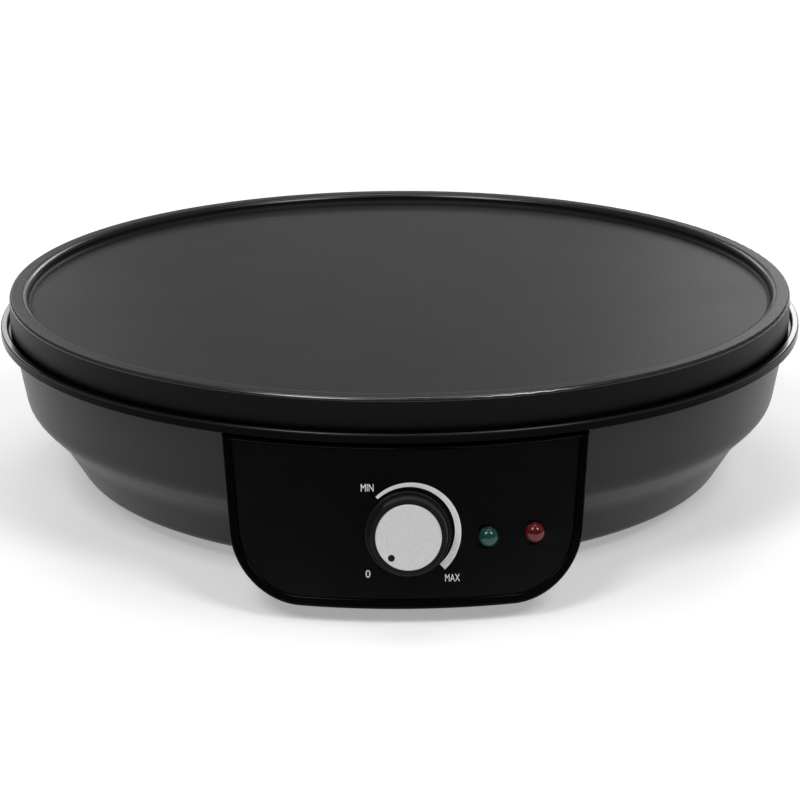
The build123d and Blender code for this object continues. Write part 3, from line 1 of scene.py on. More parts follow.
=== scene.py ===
# %% [markdown]
# # An electric crepe maker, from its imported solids
#
# The solids come from a CAD program, at real size and in metres. This notebook gives them their
# looks: the finish of each material, the marks printed on the control panel, the light, the table
# and the camera. The control panel faces -Y, +X is on the cook's right and z = 0 is the table.

import json
import math

import bmesh
import bpy
from mathutils import Matrix, Vector
from mathutils.bvhtree import BVHTree


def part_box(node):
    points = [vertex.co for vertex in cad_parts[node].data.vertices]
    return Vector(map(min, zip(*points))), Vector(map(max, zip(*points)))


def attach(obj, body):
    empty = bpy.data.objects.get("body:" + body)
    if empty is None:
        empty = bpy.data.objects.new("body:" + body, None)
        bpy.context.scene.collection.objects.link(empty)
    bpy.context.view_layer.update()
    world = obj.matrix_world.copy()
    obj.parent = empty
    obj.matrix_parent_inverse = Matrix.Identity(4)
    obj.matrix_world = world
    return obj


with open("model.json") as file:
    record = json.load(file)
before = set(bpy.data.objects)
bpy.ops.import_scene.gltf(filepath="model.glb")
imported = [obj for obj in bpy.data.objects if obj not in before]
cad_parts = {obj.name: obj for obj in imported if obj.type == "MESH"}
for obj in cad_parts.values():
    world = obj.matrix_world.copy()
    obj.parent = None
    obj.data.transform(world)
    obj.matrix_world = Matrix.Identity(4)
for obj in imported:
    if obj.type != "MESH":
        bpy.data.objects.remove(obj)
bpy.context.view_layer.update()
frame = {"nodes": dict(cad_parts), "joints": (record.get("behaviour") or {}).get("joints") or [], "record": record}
solids = frame["nodes"]
MM = 0.001

# %% [markdown]
# ## Where the main pieces are
#
# The masks, the marks and the camera need a few sizes. They could be typed in, but sizes that are
# read from the solids follow when the model changes. The knob's joint gives the point and the
# direction of its axis. The axis points into the panel, so the panel faces the other way.

# %% Measure the solids
plate_low, plate_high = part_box("baking_plate")
plate_centre = (plate_low + plate_high) / 2
plate_radius = (plate_high.x - plate_low.x) / 2
housing_low, housing_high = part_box("base_housing")
lip_top = housing_high.z
knob_joint = next(joint for joint in frame["joints"] if joint["name"] == "knob_turn")
knob_point = Vector(knob_joint["pos_m"])
knob_outward = -Vector(knob_joint["axis"]).normalized()
print(f"plate {2 * plate_radius / MM:.1f} mm across, knob at {knob_point[:]}")

# %% [markdown]
# ## Arithmetic on shader sockets
#
# A procedural finish is a sum of masks. It could be wired node by node, but a sum reads best as a
# sum. So a `Signal` wraps one socket of a node, and its operators add Math nodes behind it. Then
# `1 - mask` works as it does on numbers. Colours and vectors don't go through Math nodes, because
# those keep one channel only.


# %% Signal
class Signal:
    """One output of a shader node, which arithmetic works on."""

    def __init__(self, nodes, socket):
        self.nodes = nodes
        self.socket = socket

    def maths(self, operation, first, second):
        return self.nodes.node("ShaderNodeMath", {"operation": operation}, {0: first, 1: second})

    def __add__(self, other):
        return self.maths("ADD", self, other)

    def __radd__(self, other):
        return self.maths("ADD", other, self)

    def __sub__(self, other):
        return self.maths("SUBTRACT", self, other)

    def __rsub__(self, other):
        return self.maths("SUBTRACT", other, self)

    def __mul__(self, other):
        return self.maths("MULTIPLY", self, other)

    def __rmul__(self, other):
        return self.maths("MULTIPLY", other, self)

    def __truediv__(self, other):
        return self.maths("DIVIDE", self, other)


# %% [markdown]
# ## Nodes and finishes
#
# `Nodes` adds any node by its type, its settings and its sockets, and `Finish` is the material made
# of them. Textures could be laid out on UV maps, but solids from a CAD program have none. Here they
# are placed by the solid's own coordinates in metres, so a grain of 0.3 mm is written as 0.3 mm.
# What is the same all over a surface is set on the shader, and what varies is linked to it.


# %% Nodes and Finish
class Nodes:
    """A node tree, and the few ways in which it is added to."""

    def __init__(self, tree):
        self.tree = tree

    def node(self, kind, settings=None, sockets=None, output=0):
        """Add any node: its settings first, then values or links for its sockets."""
        made = self.tree.nodes.new(kind)
        for name, value in (settings or {}).items():
            setattr(made, name, value)
        for name, value in (sockets or {}).items():
            if isinstance(value, Signal):
                self.tree.links.new(value.socket, made.inputs[name])
            else:
                made.inputs[name].default_value = value
        return Signal(self, made.outputs[output])

    def step(self, signal, low, high):
        """Go smoothly from 0 where the signal is low to 1 where it is high."""
        sockets = {"Value": signal, "From Min": low, "From Max": high}
        settings = {"interpolation_type": "SMOOTHSTEP"}
        return self.node("ShaderNodeMapRange", settings, sockets)

    def vectors(self, operation, first, second=(0.0, 0.0, 0.0), output="Vector"):
        """One Vector Math node."""
        settings = {"operation": operation}
        return self.node("ShaderNodeVectorMath", settings, {0: first, 1: second}, output)


class Finish(Nodes):
    """A material in the making: its nodes, its surface shader and the coordinates of the solid."""

    def __init__(self, name, **surface):
        self.material = bpy.data.materials.new(name)
        self.material.use_nodes = True
        super().__init__(self.material.node_tree)
        self.surface = self.tree.nodes["Principled BSDF"]
        for socket, value in surface.items():
            self.surface.inputs[socket.replace("_", " ")].default_value = value
        self.whole = Signal(self, self.surface.outputs["BSDF"])
        self.place = self.node("ShaderNodeTexCoord", output="Object")

    def set(self, socket, signal):
        """Link a signal to one of the surface shader's sockets."""
        self.tree.links.new(signal.socket, self.surface.inputs[socket])

    def noise(self, size, detail=2.0, roughness=0.5, place=None):
        """Noise from 0 to 1 whose blotches are about one size across."""
        sockets = {"Vector": place or self.place, "Scale": 1 / size}
        sockets.update({"Detail": detail, "Roughness": roughness})
        return self.node("ShaderNodeTexNoise", None, sockets)

    def blend(self, mask, first, second):
        """A colour that goes from the first to the second as the mask goes from 0 to 1."""
        made = self.node("ShaderNodeMix", {"data_type": "RGBA"}, {"Factor": mask})
        mix = made.socket.node
        colour_sockets = [socket for socket in mix.inputs if socket.type == "RGBA"]
        for socket, colour in zip(colour_sockets, (first, second)):
            if isinstance(colour, Signal):
                self.tree.links.new(colour.socket, socket)
            else:
                socket.default_value = (*colour, 1)
        return Signal(self, next(socket for socket in mix.outputs if socket.type == "RGBA"))

    def bump(self, height, normal=None):
        """Shade the surface as if it were raised by a height in metres."""
        sockets = {"Height": height, "Distance": 1.0}
        if normal:
            sockets["Normal"] = normal
        self.set("Normal", self.node("ShaderNodeBump", None, sockets, "Normal"))

    def from_axis(self, point, along=(0.0, 0.0, 1.0)):
        """Distance from the axis through a point."""
        offset = self.vectors("SUBTRACT", self.place, tuple(point))
        sideways = self.vectors("CROSS_PRODUCT", offset, tuple(along))
        return self.vectors("LENGTH", sideways, output="Value")

    def coordinate(self, axis):
        """One coordinate of the solid, in metres."""
        return self.node("ShaderNodeSeparateXYZ", None, {0: self.place}, output=axis)


finishes = {}

# %% [markdown]
# ## The baking plate's coat
#
# The plate is cast aluminium, blasted and sprayed with a black non-stick coat. The coat is satin,
# dimpled like orange peel and sown with tiny mica flecks. The batter spreader rides on the rim, so
# the rim is smoother than the floor and its two rounded edges are worn bright. The outer rounding
# is called the edge here, and the inner one the brow. Height and distance from the plate's axis
# find them, so no UV map is needed. The bump heights are real heights in metres.
#
# A worn edge mirrors the lamps as a thin line. The mesh alone would break that line into patches,
# because its triangles there are long and uneven. They still give the height well, so the finish
# works out the true normal of the rounding from the height, and the bump starts from that normal.

# %% The rim's section
RIM_EDGE_ROUND = 1.3 * MM
RIM_BROW_ROUND = 2.2 * MM
FLAT_WITHIN = 0.01 * MM

rim_top = plate_high.z
plate_points = [vertex.co for vertex in solids["baking_plate"].data.vertices]
rim_flat = [point for point in plate_points if point.z > rim_top - FLAT_WITHIN]
brow_radius = min((point.xy - plate_centre.xy).length for point in rim_flat)


def rim_section(coat, radius, height):
    """Two masks: 1 on the rim's outer half, and 1 on its flat top but 0 where it is upright."""
    outer = coat.step(radius, brow_radius, plate_radius - 2 * RIM_EDGE_ROUND)
    section = RIM_BROW_ROUND - (RIM_BROW_ROUND - RIM_EDGE_ROUND) * outer
    rise = (height - (rim_top - section)) / section
    rise = coat.node("ShaderNodeClamp", None, {"Value": rise, "Min": 0.0, "Max": 1.0})
    return outer, rise


def rim_normal(coat, outer, rise):
    """The rim's true normal: up on its top, outward over its edge and inward over its brow."""
    level = coat.node("ShaderNodeMath", {"operation": "SQRT"}, {0: 1.0 - rise * rise})
    outward = level * (2.0 * outer - 1.0)
    offset = coat.vectors("SUBTRACT", coat.place, tuple(plate_centre))
    radial = coat.vectors("NORMALIZE", coat.vectors("MULTIPLY", offset, (1, 1, 0)))
    length = coat.node("ShaderNodeCombineXYZ", None, {0: outward, 1: outward})
    upward = coat.node("ShaderNodeCombineXYZ", None, {2: rise})
    return coat.vectors("ADD", coat.vectors("MULTIPLY", radial, length), upward)


flat_end = plate_radius - RIM_EDGE_ROUND
print(f"the rim is flat from {brow_radius / MM:.1f} to {flat_end / MM:.1f} mm from the axis")

# %% [markdown]
# ### The coat itself
#
# The ground is nearly black. Clouds vary it, peel and grain dimple it, and flecks lighten it. The
# plate's outer wall is painted darker still, as painted shade. The polish could be the shader's
# clear coat, but that layer has a normal of its own and would ignore the one worked out above. So
# the worn rounding is metallic, in a colour too dark for chrome.

# %% Non-stick coat
MICA = (0.06, 0.06, 0.063)
PAINTED_WALL_SHADE = (0.0015, 0.0015, 0.0016)
WORN_BROW = (0.055, 0.055, 0.056)
WORN_EDGE = (0.10, 0.10, 0.102)
EDGE_FROM_SIDE = (0.0, 0.15)
EDGE_FROM_TOP = (0.97, 0.90)
BROW_BAND = 0.3 * RIM_BROW_ROUND
RIM_BLEND = 1.0 * MM
WALL_MARGIN = 0.2 * MM


def non_stick_coat():
    coat = Finish("plate_coating", Specular_IOR_Level=0.09)
    radius = coat.from_axis(plate_centre)
    height = coat.coordinate("Z")
    rim = coat.step(radius, brow_radius - RIM_BLEND, brow_radius)
    wall = coat.step(radius, plate_radius - RIM_BLEND, plate_radius - WALL_MARGIN)
    rounded = coat.step(height, rim_top - RIM_BROW_ROUND, rim_top - 0.9 * RIM_BROW_ROUND)
    outer, rise = rim_section(coat, radius, height)
    edge = outer * coat.step(rise, *EDGE_FROM_SIDE) * coat.step(rise, *EDGE_FROM_TOP)
    brow = coat.step(radius, brow_radius, brow_radius - BROW_BAND) * rounded
    polished = edge + brow

    clouds = coat.noise(40 * MM, detail=4)
    peel = coat.noise(1.4 * MM, detail=2)
    grain = coat.noise(0.3 * MM, detail=1)
    flecks = coat.step(coat.noise(0.55 * MM, detail=0), 0.72, 0.80)

    shade = coat.blend(clouds, (0.010, 0.010, 0.011), (0.014, 0.014, 0.015))
    shade = coat.blend(flecks * 0.5, shade, MICA)
    # Painted shade: the plate's outer wall is coloured darker than the rest of the coat.
    shade = coat.blend(wall, shade, PAINTED_WALL_SHADE)
    shade = coat.blend(brow, shade, WORN_BROW)
    coat.set("Base Color", coat.blend(edge, shade, WORN_EDGE))
    coat.set("Metallic", polished)
    satin = 0.42 + 0.08 * clouds - 0.04 * rim - 0.10 * flecks
    coat.set("Roughness", satin - 0.2 * polished)
    own_normal = coat.node("ShaderNodeNewGeometry", output="Normal")
    normal = coat.blend(rounded, own_normal, rim_normal(coat, outer, rise))
    coat.bump(peel * (0.010 * MM) + grain * (0.003 * MM), normal)
    return coat.material


finishes["plate_coating"] = non_stick_coat()
print(f"coat of {len(finishes['plate_coating'].node_tree.nodes)} nodes")

# %% [markdown]
# ## Moulded black plastic
#
# The bowl is moulded in a satin black plastic: its tool was spark-eroded to a fine, even texture,
# and only its lip is polished. The lip's near-black colour is partly its polish and partly painted
# shade. The lip could have a material of its own, but the bowl is one solid with one slot. So the
# lip is found by its height above the table. Its top edge shines most.


# %% The bowl's lip
LIP_DEPTH = 3.9 * MM
LIP_TOP_EDGE = 0.8 * MM
LIP_BLEND = 0.3 * MM
POLISHED_BLACK_AND_PAINTED_SHADE = (0.0008, 0.0008, 0.0009)
LIP_SMOOTHNESS = 0.22
BOWL_SHEEN = 0.26
LIP_SHEEN_LOSS = 0.25
TOP_EDGE_SHEEN = 0.7


def polished_lip(plastic, shade, roughness):
    """Polish the lip, with painted shade in its colour; its top edge outshines the textured bowl below."""
    level = plastic.coordinate("Z")
    lip_start = lip_top - LIP_DEPTH
    edge_start = lip_top - LIP_TOP_EDGE
    polished = plastic.step(level, lip_start, lip_start + LIP_BLEND)
    top_edge = plastic.step(level, edge_start, edge_start + LIP_BLEND)
    sheen = BOWL_SHEEN - LIP_SHEEN_LOSS * polished + TOP_EDGE_SHEEN * top_edge
    plastic.set("Coat Weight", sheen)
    # The lip's near-black colour is partly its polish and partly painted shade.
    return plastic.blend(polished, shade, POLISHED_BLACK_AND_PAINTED_SHADE), roughness - LIP_SMOOTHNESS * polished


print(f"lip polished above z = {(lip_top - LIP_DEPTH) / MM:.1f} mm")

# %% [markdown]
# ### Bowl, control box and insert
#
# The control box and its insert are polished all over, so they show sinks and hairline scratches
# instead of a texture. The three plastics could be written out one by one. They differ only in how
# rough their tool was, so one function makes them all.


# %% Bowl, control box and insert
def moulded_black(name, grey, shine, roughness, texture, scratches, has_lip=False):
    """Black plastic. The texture is its tool's, as a height; scratches go from 0 to 1."""
    plastic = Finish(name, Specular_IOR_Level=shine, Coat_Roughness=0.28)
    clouds = plastic.noise(30 * MM, detail=3)
    sinks = plastic.noise(18 * MM, detail=1)
    pits = plastic.noise(0.35 * MM, detail=2)
    stretched = plastic.vectors("MULTIPLY", plastic.place, (1.0, 1.0, 0.06))
    hairs = plastic.step(plastic.noise(0.4 * MM, detail=1, place=stretched), 0.66, 0.74)
    dark = (grey, grey, grey * 1.05)
    pale = (grey * 1.35, grey * 1.35, grey * 1.4)
    shade = plastic.blend(clouds, dark, pale)
    if has_lip:
        shade, roughness = polished_lip(plastic, shade, roughness)
    plastic.set("Base Color", shade)
    plastic.set("Roughness", roughness + 0.06 * clouds + 0.10 * scratches * hairs)
    plastic.bump(sinks * (0.02 * MM) + pits * texture)
    return plastic.material


finishes["housing_plastic"] = moulded_black(
    "housing_plastic",
    grey=0.019,
    shine=0.03,
    roughness=0.34,
    texture=0.004 * MM,
    scratches=0.2,
    has_lip=True,
)
finishes["gloss_black"] = moulded_black(
    "gloss_black", grey=0.001, shine=0.07, roughness=0.10, texture=0.0002 * MM, scratches=0.6
)
finishes["fascia_print"] = moulded_black(
    "fascia_print", grey=0.0024, shine=0.20, roughness=0.12, texture=0.0003 * MM, scratches=0.8
)
print("moulded the bowl, the control box and the insert")

# %% [markdown]
# ## The knob
#
# The knob is a semi-gloss moulding with a satin aluminium disc in its front. The disc is blasted
# and anodised, so it glitters very finely. An image could show that, but it would blur close up.
# Here tiny Voronoi cells of slightly different grey and slope give the glitter.


# %% Knob and its disc
def knob_moulding():
    knob = Finish("knob_black", Specular_IOR_Level=0.11)
    clouds = knob.noise(6 * MM, detail=3)
    pits = knob.noise(0.25 * MM, detail=2)
    handled = knob.step(clouds, 0.45, 0.7)
    knob.set("Base Color", knob.blend(clouds, (0.007, 0.007, 0.0075), (0.012, 0.012, 0.0125)))
    knob.set("Roughness", 0.30 + 0.08 * clouds - 0.06 * handled)
    knob.bump(pits * (0.003 * MM))
    return knob.material


def blasted_disc():
    disc = Finish("knob_silver", Metallic=0.75)
    cell_sockets = {"Vector": disc.place, "Scale": 1 / (0.22 * MM)}
    cells = disc.node("ShaderNodeTexVoronoi", None, cell_sockets, "Color")
    glint = disc.node("ShaderNodeSeparateColor", None, {0: cells}, output="Red")
    clouds = disc.noise(5 * MM, detail=3)
    shade = disc.blend(glint, (0.72, 0.72, 0.73), (0.87, 0.87, 0.88))
    disc.set("Base Color", disc.blend(clouds * 0.3, shade, (0.75, 0.75, 0.77)))
    disc.set("Roughness", 0.46 + 0.10 * glint)
    disc.bump(glint * (0.006 * MM) + clouds * (0.003 * MM))
    return disc.material


finishes["knob_black"] = knob_moulding()
finishes["knob_silver"] = blasted_disc()
print("finished the knob and its disc")

# %% [markdown]
# ## Lamp lenses and the neon glass behind them
#
# The lenses are tinted clear plastic, domed and glossy. They look dark while the lamps are off,
# because little light gets in and out again. A glossy colour alone would look painted. So a part
# of the light goes through to the dark hole behind, and the tint is slightly swirled.


# %% Lenses and lamps
def tinted_lens(name, deep, bright):
    gloss = {"Coat_Weight": 0.6, "Coat_Roughness": 0.1}
    lens = Finish(name, Transmission_Weight=0.35, Specular_IOR_Level=0.1, **gloss)
    swirl = lens.noise(2.2 * MM, detail=2)
    lens.set("Base Color", lens.blend(swirl, deep, bright))
    lens.set("Roughness", 0.06 + 0.06 * swirl)
    lens.bump(lens.noise(1.5 * MM) * (0.01 * MM))
    return lens.material


def neon_glass():
    glass = Finish("neon_glass", Transmission_Weight=0.9, IOR=1.5)
    film = glass.noise(2 * MM, detail=2)
    glass.set("Base Color", glass.blend(film, (0.95, 0.90, 0.86), (0.80, 0.62, 0.50)))
    glass.set("Roughness", 0.03 + 0.05 * film)
    glass.bump(film * (0.01 * MM))
    return glass.material


lens_tints = {
    "lens_green": ((0.004, 0.05, 0.042), (0.015, 0.09, 0.075)),
    "lens_red": ((0.10, 0.003, 0.004), (0.18, 0.008, 0.010)),
}
for lens_name, (deep_tint, bright_tint) in lens_tints.items():
    finishes[lens_name] = tinted_lens(lens_name, deep_tint, bright_tint)
finishes["neon_glass"] = neon_glass()
print(f"lenses: {', '.join(lens_tints)}")

# %% [markdown]
# ## Metals inside
#
# Sheet metal is rolled, so its grain runs one way. Zinc plating is patchy, with a yellow and blue
# tinge. The heating element's sheath turns brown where it glows. The brass spindle is turned, so it
# has fine rings round its axis. Plain metallic greys would all look alike inside a dark bowl. So
# each metal is a colour mask and a grain, and the grain's direction tells them apart.


# %% Sheet, plated, sheath and brass
def metal(name, darker, paler, roughness, patch, stretch, groove):
    """A metal whose grain is stretched along one way, with patches of two tones."""
    bare = Finish(name, Metallic=1.0)
    patches = bare.noise(patch, detail=4, roughness=0.6)
    grain = bare.noise(0.3 * MM, detail=3, place=bare.vectors("MULTIPLY", bare.place, stretch))
    bare.set("Base Color", bare.blend(patches, darker, paler))
    bare.set("Roughness", roughness + 0.15 * patches + 0.10 * grain)
    bare.bump(grain * groove)
    return bare.material


def turned_brass():
    brass = Finish("spindle_brass", Metallic=1.0)
    radius = brass.from_axis(knob_point, knob_outward)
    ring_sockets = {"W": radius / (0.08 * MM), "Scale": 1}
    rings = brass.node("ShaderNodeTexNoise", {"noise_dimensions": "1D"}, ring_sockets)
    tarnish = brass.noise(3 * MM, detail=4)
    brass.set("Base Color", brass.blend(tarnish, (0.62, 0.45, 0.18), (0.78, 0.60, 0.28)))
    brass.set("Roughness", 0.24 + 0.12 * tarnish + 0.08 * rings)
    brass.bump(rings * (0.004 * MM))
    return brass.material


metals = {
    "sheet_steel": {
        "darker": (0.50, 0.50, 0.50),
        "paler": (0.66, 0.66, 0.65),
        "roughness": 0.22,
        "patch": 12 * MM,
        "stretch": (0.04, 1, 1),
        "groove": 0.002 * MM,
    },
    "zinc_steel": {
        "darker": (0.52, 0.52, 0.48),
        "paler": (0.60, 0.62, 0.66),
        "roughness": 0.26,
        "patch": 2.5 * MM,
        "stretch": (1, 1, 1),
        "groove": 0.003 * MM,
    },
    "element_steel": {
        "darker": (0.14, 0.10, 0.08),
        "paler": (0.30, 0.28, 0.28),
        "roughness": 0.38,
        "patch": 9 * MM,
        "stretch": (1, 1, 0.3),
        "groove": 0.004 * MM,
    },
}
for metal_name, looks in metals.items():
    finishes[metal_name] = metal(metal_name, **looks)
finishes["spindle_brass"] = turned_brass()
print(f"metals: {', '.join(metals)}, spindle_brass")

# %% [markdown]
# ## Ceramic, rubber, nylon and woven glass
#
# These are the quiet finishes. Fired ceramic is off-white with a few specks, rubber is matt with a
# grey bloom, nylon is milky. One function makes all three. The fuse's sleeve is woven glass yarn.
# Its yarns could be modelled one by one, but they are too fine to see. Two sets of waves that cross
# do for them.


# %% Ceramic, rubber, nylon and sleeve
def quiet(name, darker, paler, roughness, patch, speck, pit):
    """A matt material with clouds of two tones, some specks and fine pits."""
    plain = Finish(name)
    clouds = plain.noise(patch, detail=4)
    specks = plain.step(plain.noise(0.5 * MM, detail=0), 0.74, 0.80)
    shade = plain.blend(clouds, darker, paler)
    plain.set("Base Color", plain.blend(specks * 0.6, shade, speck))
    plain.set("Roughness", roughness + 0.12 * clouds)
    plain.bump(plain.noise(0.4 * MM, detail=2) * pit)
    return plain.material


def woven_sleeve():
    sleeve = Finish("sleeve_white", Sheen_Weight=0.2)
    diagonal = {"bands_direction": "DIAGONAL"}
    waves = {"Scale": 1 / (1.1 * MM), "Distortion": 0.4, "Detail": 1.0}
    mirrored = sleeve.vectors("MULTIPLY", sleeve.place, (1, 1, -1))
    warp = sleeve.node("ShaderNodeTexWave", diagonal, {"Vector": sleeve.place, **waves})
    weft = sleeve.node("ShaderNodeTexWave", diagonal, {"Vector": mirrored, **waves})
    weave = warp * weft
    sleeve.set("Base Color", sleeve.blend(weave, (0.52, 0.50, 0.44), (0.80, 0.79, 0.74)))
    sleeve.set("Roughness", 0.9 - 0.2 * weave)
    sleeve.bump(weave * (0.08 * MM))
    return sleeve.material


quiets = {
    "ceramic_white": {
        "darker": (0.70, 0.68, 0.62),
        "paler": (0.80, 0.79, 0.75),
        "roughness": 0.42,
        "patch": 3 * MM,
        "speck": (0.45, 0.40, 0.32),
        "pit": 0.01 * MM,
    },
    "rubber_black": {
        "darker": (0.018, 0.018, 0.018),
        "paler": (0.045, 0.045, 0.045),
        "roughness": 0.72,
        "patch": 2 * MM,
        "speck": (0.08, 0.08, 0.08),
        "pit": 0.02 * MM,
    },
    "block_white": {
        "darker": (0.72, 0.72, 0.69),
        "paler": (0.80, 0.80, 0.77),
        "roughness": 0.48,
        "patch": 5 * MM,
        "speck": (0.60, 0.58, 0.52),
        "pit": 0.008 * MM,
    },
}
for quiet_name, looks in quiets.items():
    finishes[quiet_name] = quiet(quiet_name, **looks)
finishes["sleeve_white"] = woven_sleeve()
print(f"quiet finishes: {', '.join(quiets)}, sleeve_white")

# %% [markdown]
# ## Lead insulation
#
# A lead's insulation is smooth PVC, which goes a little duller where it was handled. The leads
# differ in colour alone. So one function makes their finishes, from a table of colours.


# %% Lead insulation
def insulation(name, colour):
    cover = Finish(name, Specular_IOR_Level=0.45)
    dull = cover.noise(4 * MM, detail=4)
    worn = tuple(0.7 * channel + 0.03 for channel in colour)
    cover.set("Base Color", cover.blend(dull, worn, colour))
    cover.set("Roughness", 0.34 + 0.22 * dull)
    cover.bump(cover.noise(1.2 * MM) * (0.02 * MM))
    return cover.material


lead_colours = {
    "lead_brown": (0.16, 0.065, 0.03),
    "lead_blue": (0.03, 0.11, 0.42),
    "lead_green": (0.08, 0.34, 0.06),
    "lead_black": (0.03, 0.03, 0.03),
    "lead_white": (0.76, 0.76, 0.73),
}
for lead_name, lead_colour in lead_colours.items():
    finishes[lead_name] = insulation(lead_name, lead_colour)
print(f"{len(finishes)} finishes: {', '.join(sorted(finishes))}")

# %% [markdown]
# ## Put the finishes on the solids
#
# Each solid could be given its material by hand, but the record names a material slot for each one
# and the finishes above have the slots' names. The shapes of the solids are right as they are, so
# they stay, and only their materials change.

# %% Assign
for subpart in frame["record"]["subparts"]:
    solid = solids[subpart["node"]]
    if not solid.material_slots:
        solid.data.materials.append(None)
    for material_slot in solid.material_slots:
        material_slot.material = finishes[subpart["material_slot"]]

# %% [markdown]
# ## A flat drawing laid on a curved panel
#
# The dial's marks are printed on the insert, which is part of a cone. They are drawn flat first, in
# the knob's own plane: u to the right, v up and w out of the panel, from the knob's axis. Then each
# point is dropped onto the insert along w. A Shrinkwrap modifier could do that. A BVH tree finds
# where a ray meets a mesh too, and it gives the height as a number that a thickness is added to.

# %% The panel's plane
CAST_FROM = 40 * MM
right = Vector((1.0, 0.0, 0.0))
up = knob_outward.cross(right)
panel_plane = Matrix((right, up, knob_outward)).transposed().to_4x4()
panel_plane.translation = knob_point
to_panel = panel_plane.inverted()

insert_mesh = solids["fascia_panel"].data
insert_tree = BVHTree.FromPolygons(
    [to_panel @ vertex.co for vertex in insert_mesh.vertices],
    [tuple(polygon.vertices) for polygon in insert_mesh.polygons],
)


def insert_height(u, v):
    """How far out of the knob's plane the insert's front is at (u, v)."""
    return insert_tree.ray_cast(Vector((u, v, CAST_FROM)), Vector((0, 0, -1)))[0].z


print(f"insert 30 mm left of the knob: {insert_height(-30 * MM, 0) / MM:.2f} mm")

# %% [markdown]
# ## Ink
#
# The marks are screen-printed in pale grey ink, a few hundredths of a millimetre thick. They sink
# slightly into the insert, so that no gap shows. The ink is dull beside the polished insert. The
# arc's ink is broken into a halftone, which gets denser towards MAX, inside a solid edge. Its dots
# could be cut out of the mesh, but that takes thousands of faces, so a mask draws them.

# %% Ink finishes
INK_THICKNESS = 0.05 * MM
INK_SUNK = 0.02 * MM
ARC_MIDDLE = Vector((0.93, 0.07, 0)) * MM
ARC_START = 134
ARC_SWEEP = 182
ARC_OUTER = 16.73 * MM
ARC_INNER_AT_MIN = 15.63 * MM
ARC_INNER_AT_MAX = 14.28 * MM
SOLID_EDGE = 0.25 * MM
BARE_BETWEEN_INK = (0.22, 0.22, 0.22)
HALFTONE_GROUND = 0.16
HALFTONE_DOTS = 0.30


def arc_inner(share):
    """The arc's inner radius at a share of the way from MIN to MAX."""
    return ARC_INNER_AT_MIN + (ARC_INNER_AT_MAX - ARC_INNER_AT_MIN) * share


def dot_mask(printed):
    """Where the ink is broken: dots between the arc's solid edges, denser from MIN to MAX."""
    offset = printed.vectors("SUBTRACT", printed.place, tuple(ARC_MIDDLE))
    radius = printed.vectors("LENGTH", offset, output="Value")
    radial = {"gradient_type": "RADIAL"}
    turn = printed.node("ShaderNodeTexGradient", radial, {0: offset}, output=1)
    share = (0.5 + ARC_START / 360 - turn) * (360 / ARC_SWEEP)
    inside = printed.step(ARC_OUTER - radius, 0.4 * SOLID_EDGE, SOLID_EDGE)
    outside = printed.step(radius - arc_inner(share), 0.4 * SOLID_EDGE, SOLID_EDGE)
    dots = printed.step(printed.noise(0.28 * MM, detail=0), 0.40, 0.60)
    fade = printed.step(share, 0.05, 1.0) * (inside * outside)
    return fade * (HALFTONE_GROUND + HALFTONE_DOTS * dots)


def ink(name, halftone):
    printed = Finish(name, Specular_IOR_Level=0.4)
    clouds = printed.noise(1.5 * MM, detail=3)
    shade = printed.blend(clouds, (0.80, 0.80, 0.80), (0.92, 0.92, 0.92))
    if halftone:
        shade = printed.blend(dot_mask(printed), shade, BARE_BETWEEN_INK)
    printed.set("Base Color", shade)
    printed.set("Roughness", 0.45 + 0.15 * clouds)
    printed.bump(printed.noise(0.15 * MM) * (0.004 * MM))
    return printed.material


plain_ink = ink("ink", halftone=False)
dotted_ink = ink("ink_halftone", halftone=True)
print(f"ink stands {(INK_THICKNESS - INK_SUNK) / MM:.2f} mm out of the insert")

# %% [markdown]
# ## The dial's marks
#
# The marks could be painted on the insert as an image, but real edges stay sharp close up. So each
# mark is a layer of ink: a flat drawing that is given a thickness and dropped onto the insert. A
# helper of its own turns any drawing into an object.


# %% A layer of ink from a flat drawing
def new_object(name, drawing, material):
    """Turn a drawing into an object with one material, and put it in the scene."""
    mesh = bpy.data.meshes.new(name)
    drawing.to_mesh(mesh)
    drawing.free()
    mesh.materials.append(material)
    made = bpy.data.objects.new(name, mesh)
    bpy.context.scene.collection.objects.link(made)
    return made


def layer_of_ink(name, flat, material):
    """Thicken a flat drawing in the knob's plane, lay it on the insert and let it ride there."""
    under = flat.verts[:]
    bmesh.ops.extrude_face_region(flat, geom=flat.faces[:], use_keep_orig=True)
    over = set(flat.verts) - set(under)
    for vertex in flat.verts:
        lift = INK_THICKNESS - INK_SUNK if vertex in over else -INK_SUNK
        vertex.co.z = insert_height(vertex.co.x, vertex.co.y) + lift
    bmesh.ops.recalc_face_normals(flat, faces=flat.faces[:])
    piece = new_object(name, flat, material)
    piece.matrix_world = panel_plane
    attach(piece, "housing")
    return piece


# %% [markdown]
# ### The arc
#
# The arc is a crescent that widens from MIN to MAX: a strip of quads between an outer circle and an
# inner curve. A Bezier curve could draw its outline, but the strip also has points across its
# width, and those let it bend with the cone.

# %% The arc
ARC_STEPS = 120
ARC_RINGS = 6

strip = bmesh.new()
rows = []
for step in range(ARC_STEPS + 1):
    share = step / ARC_STEPS
    angle = math.radians(ARC_START - ARC_SWEEP * share)
    inner = arc_inner(share)
    ray = Vector((math.cos(angle), math.sin(angle), 0))
    radii = [inner + (ARC_OUTER - inner) * ring / ARC_RINGS for ring in range(ARC_RINGS + 1)]
    rows.append([strip.verts.new(ARC_MIDDLE + radius * ray) for radius in radii])
for row, next_row in zip(rows, rows[1:]):
    for ring in range(ARC_RINGS):
        strip.faces.new((row[ring], row[ring + 1], next_row[ring + 1], next_row[ring]))
arc_mark = layer_of_ink("dial_arc", strip, dotted_ink)
print(f"arc of {len(arc_mark.data.polygons)} faces")

# %% [markdown]
# ### The lettering
#
# MIN and MAX stand at the two ends of the arc, and 0 stands where the knob is off. The letters
# could be drawn point by point. Blender's own text is quicker: it is turned into a mesh and then
# squeezed to the real cap height and width.

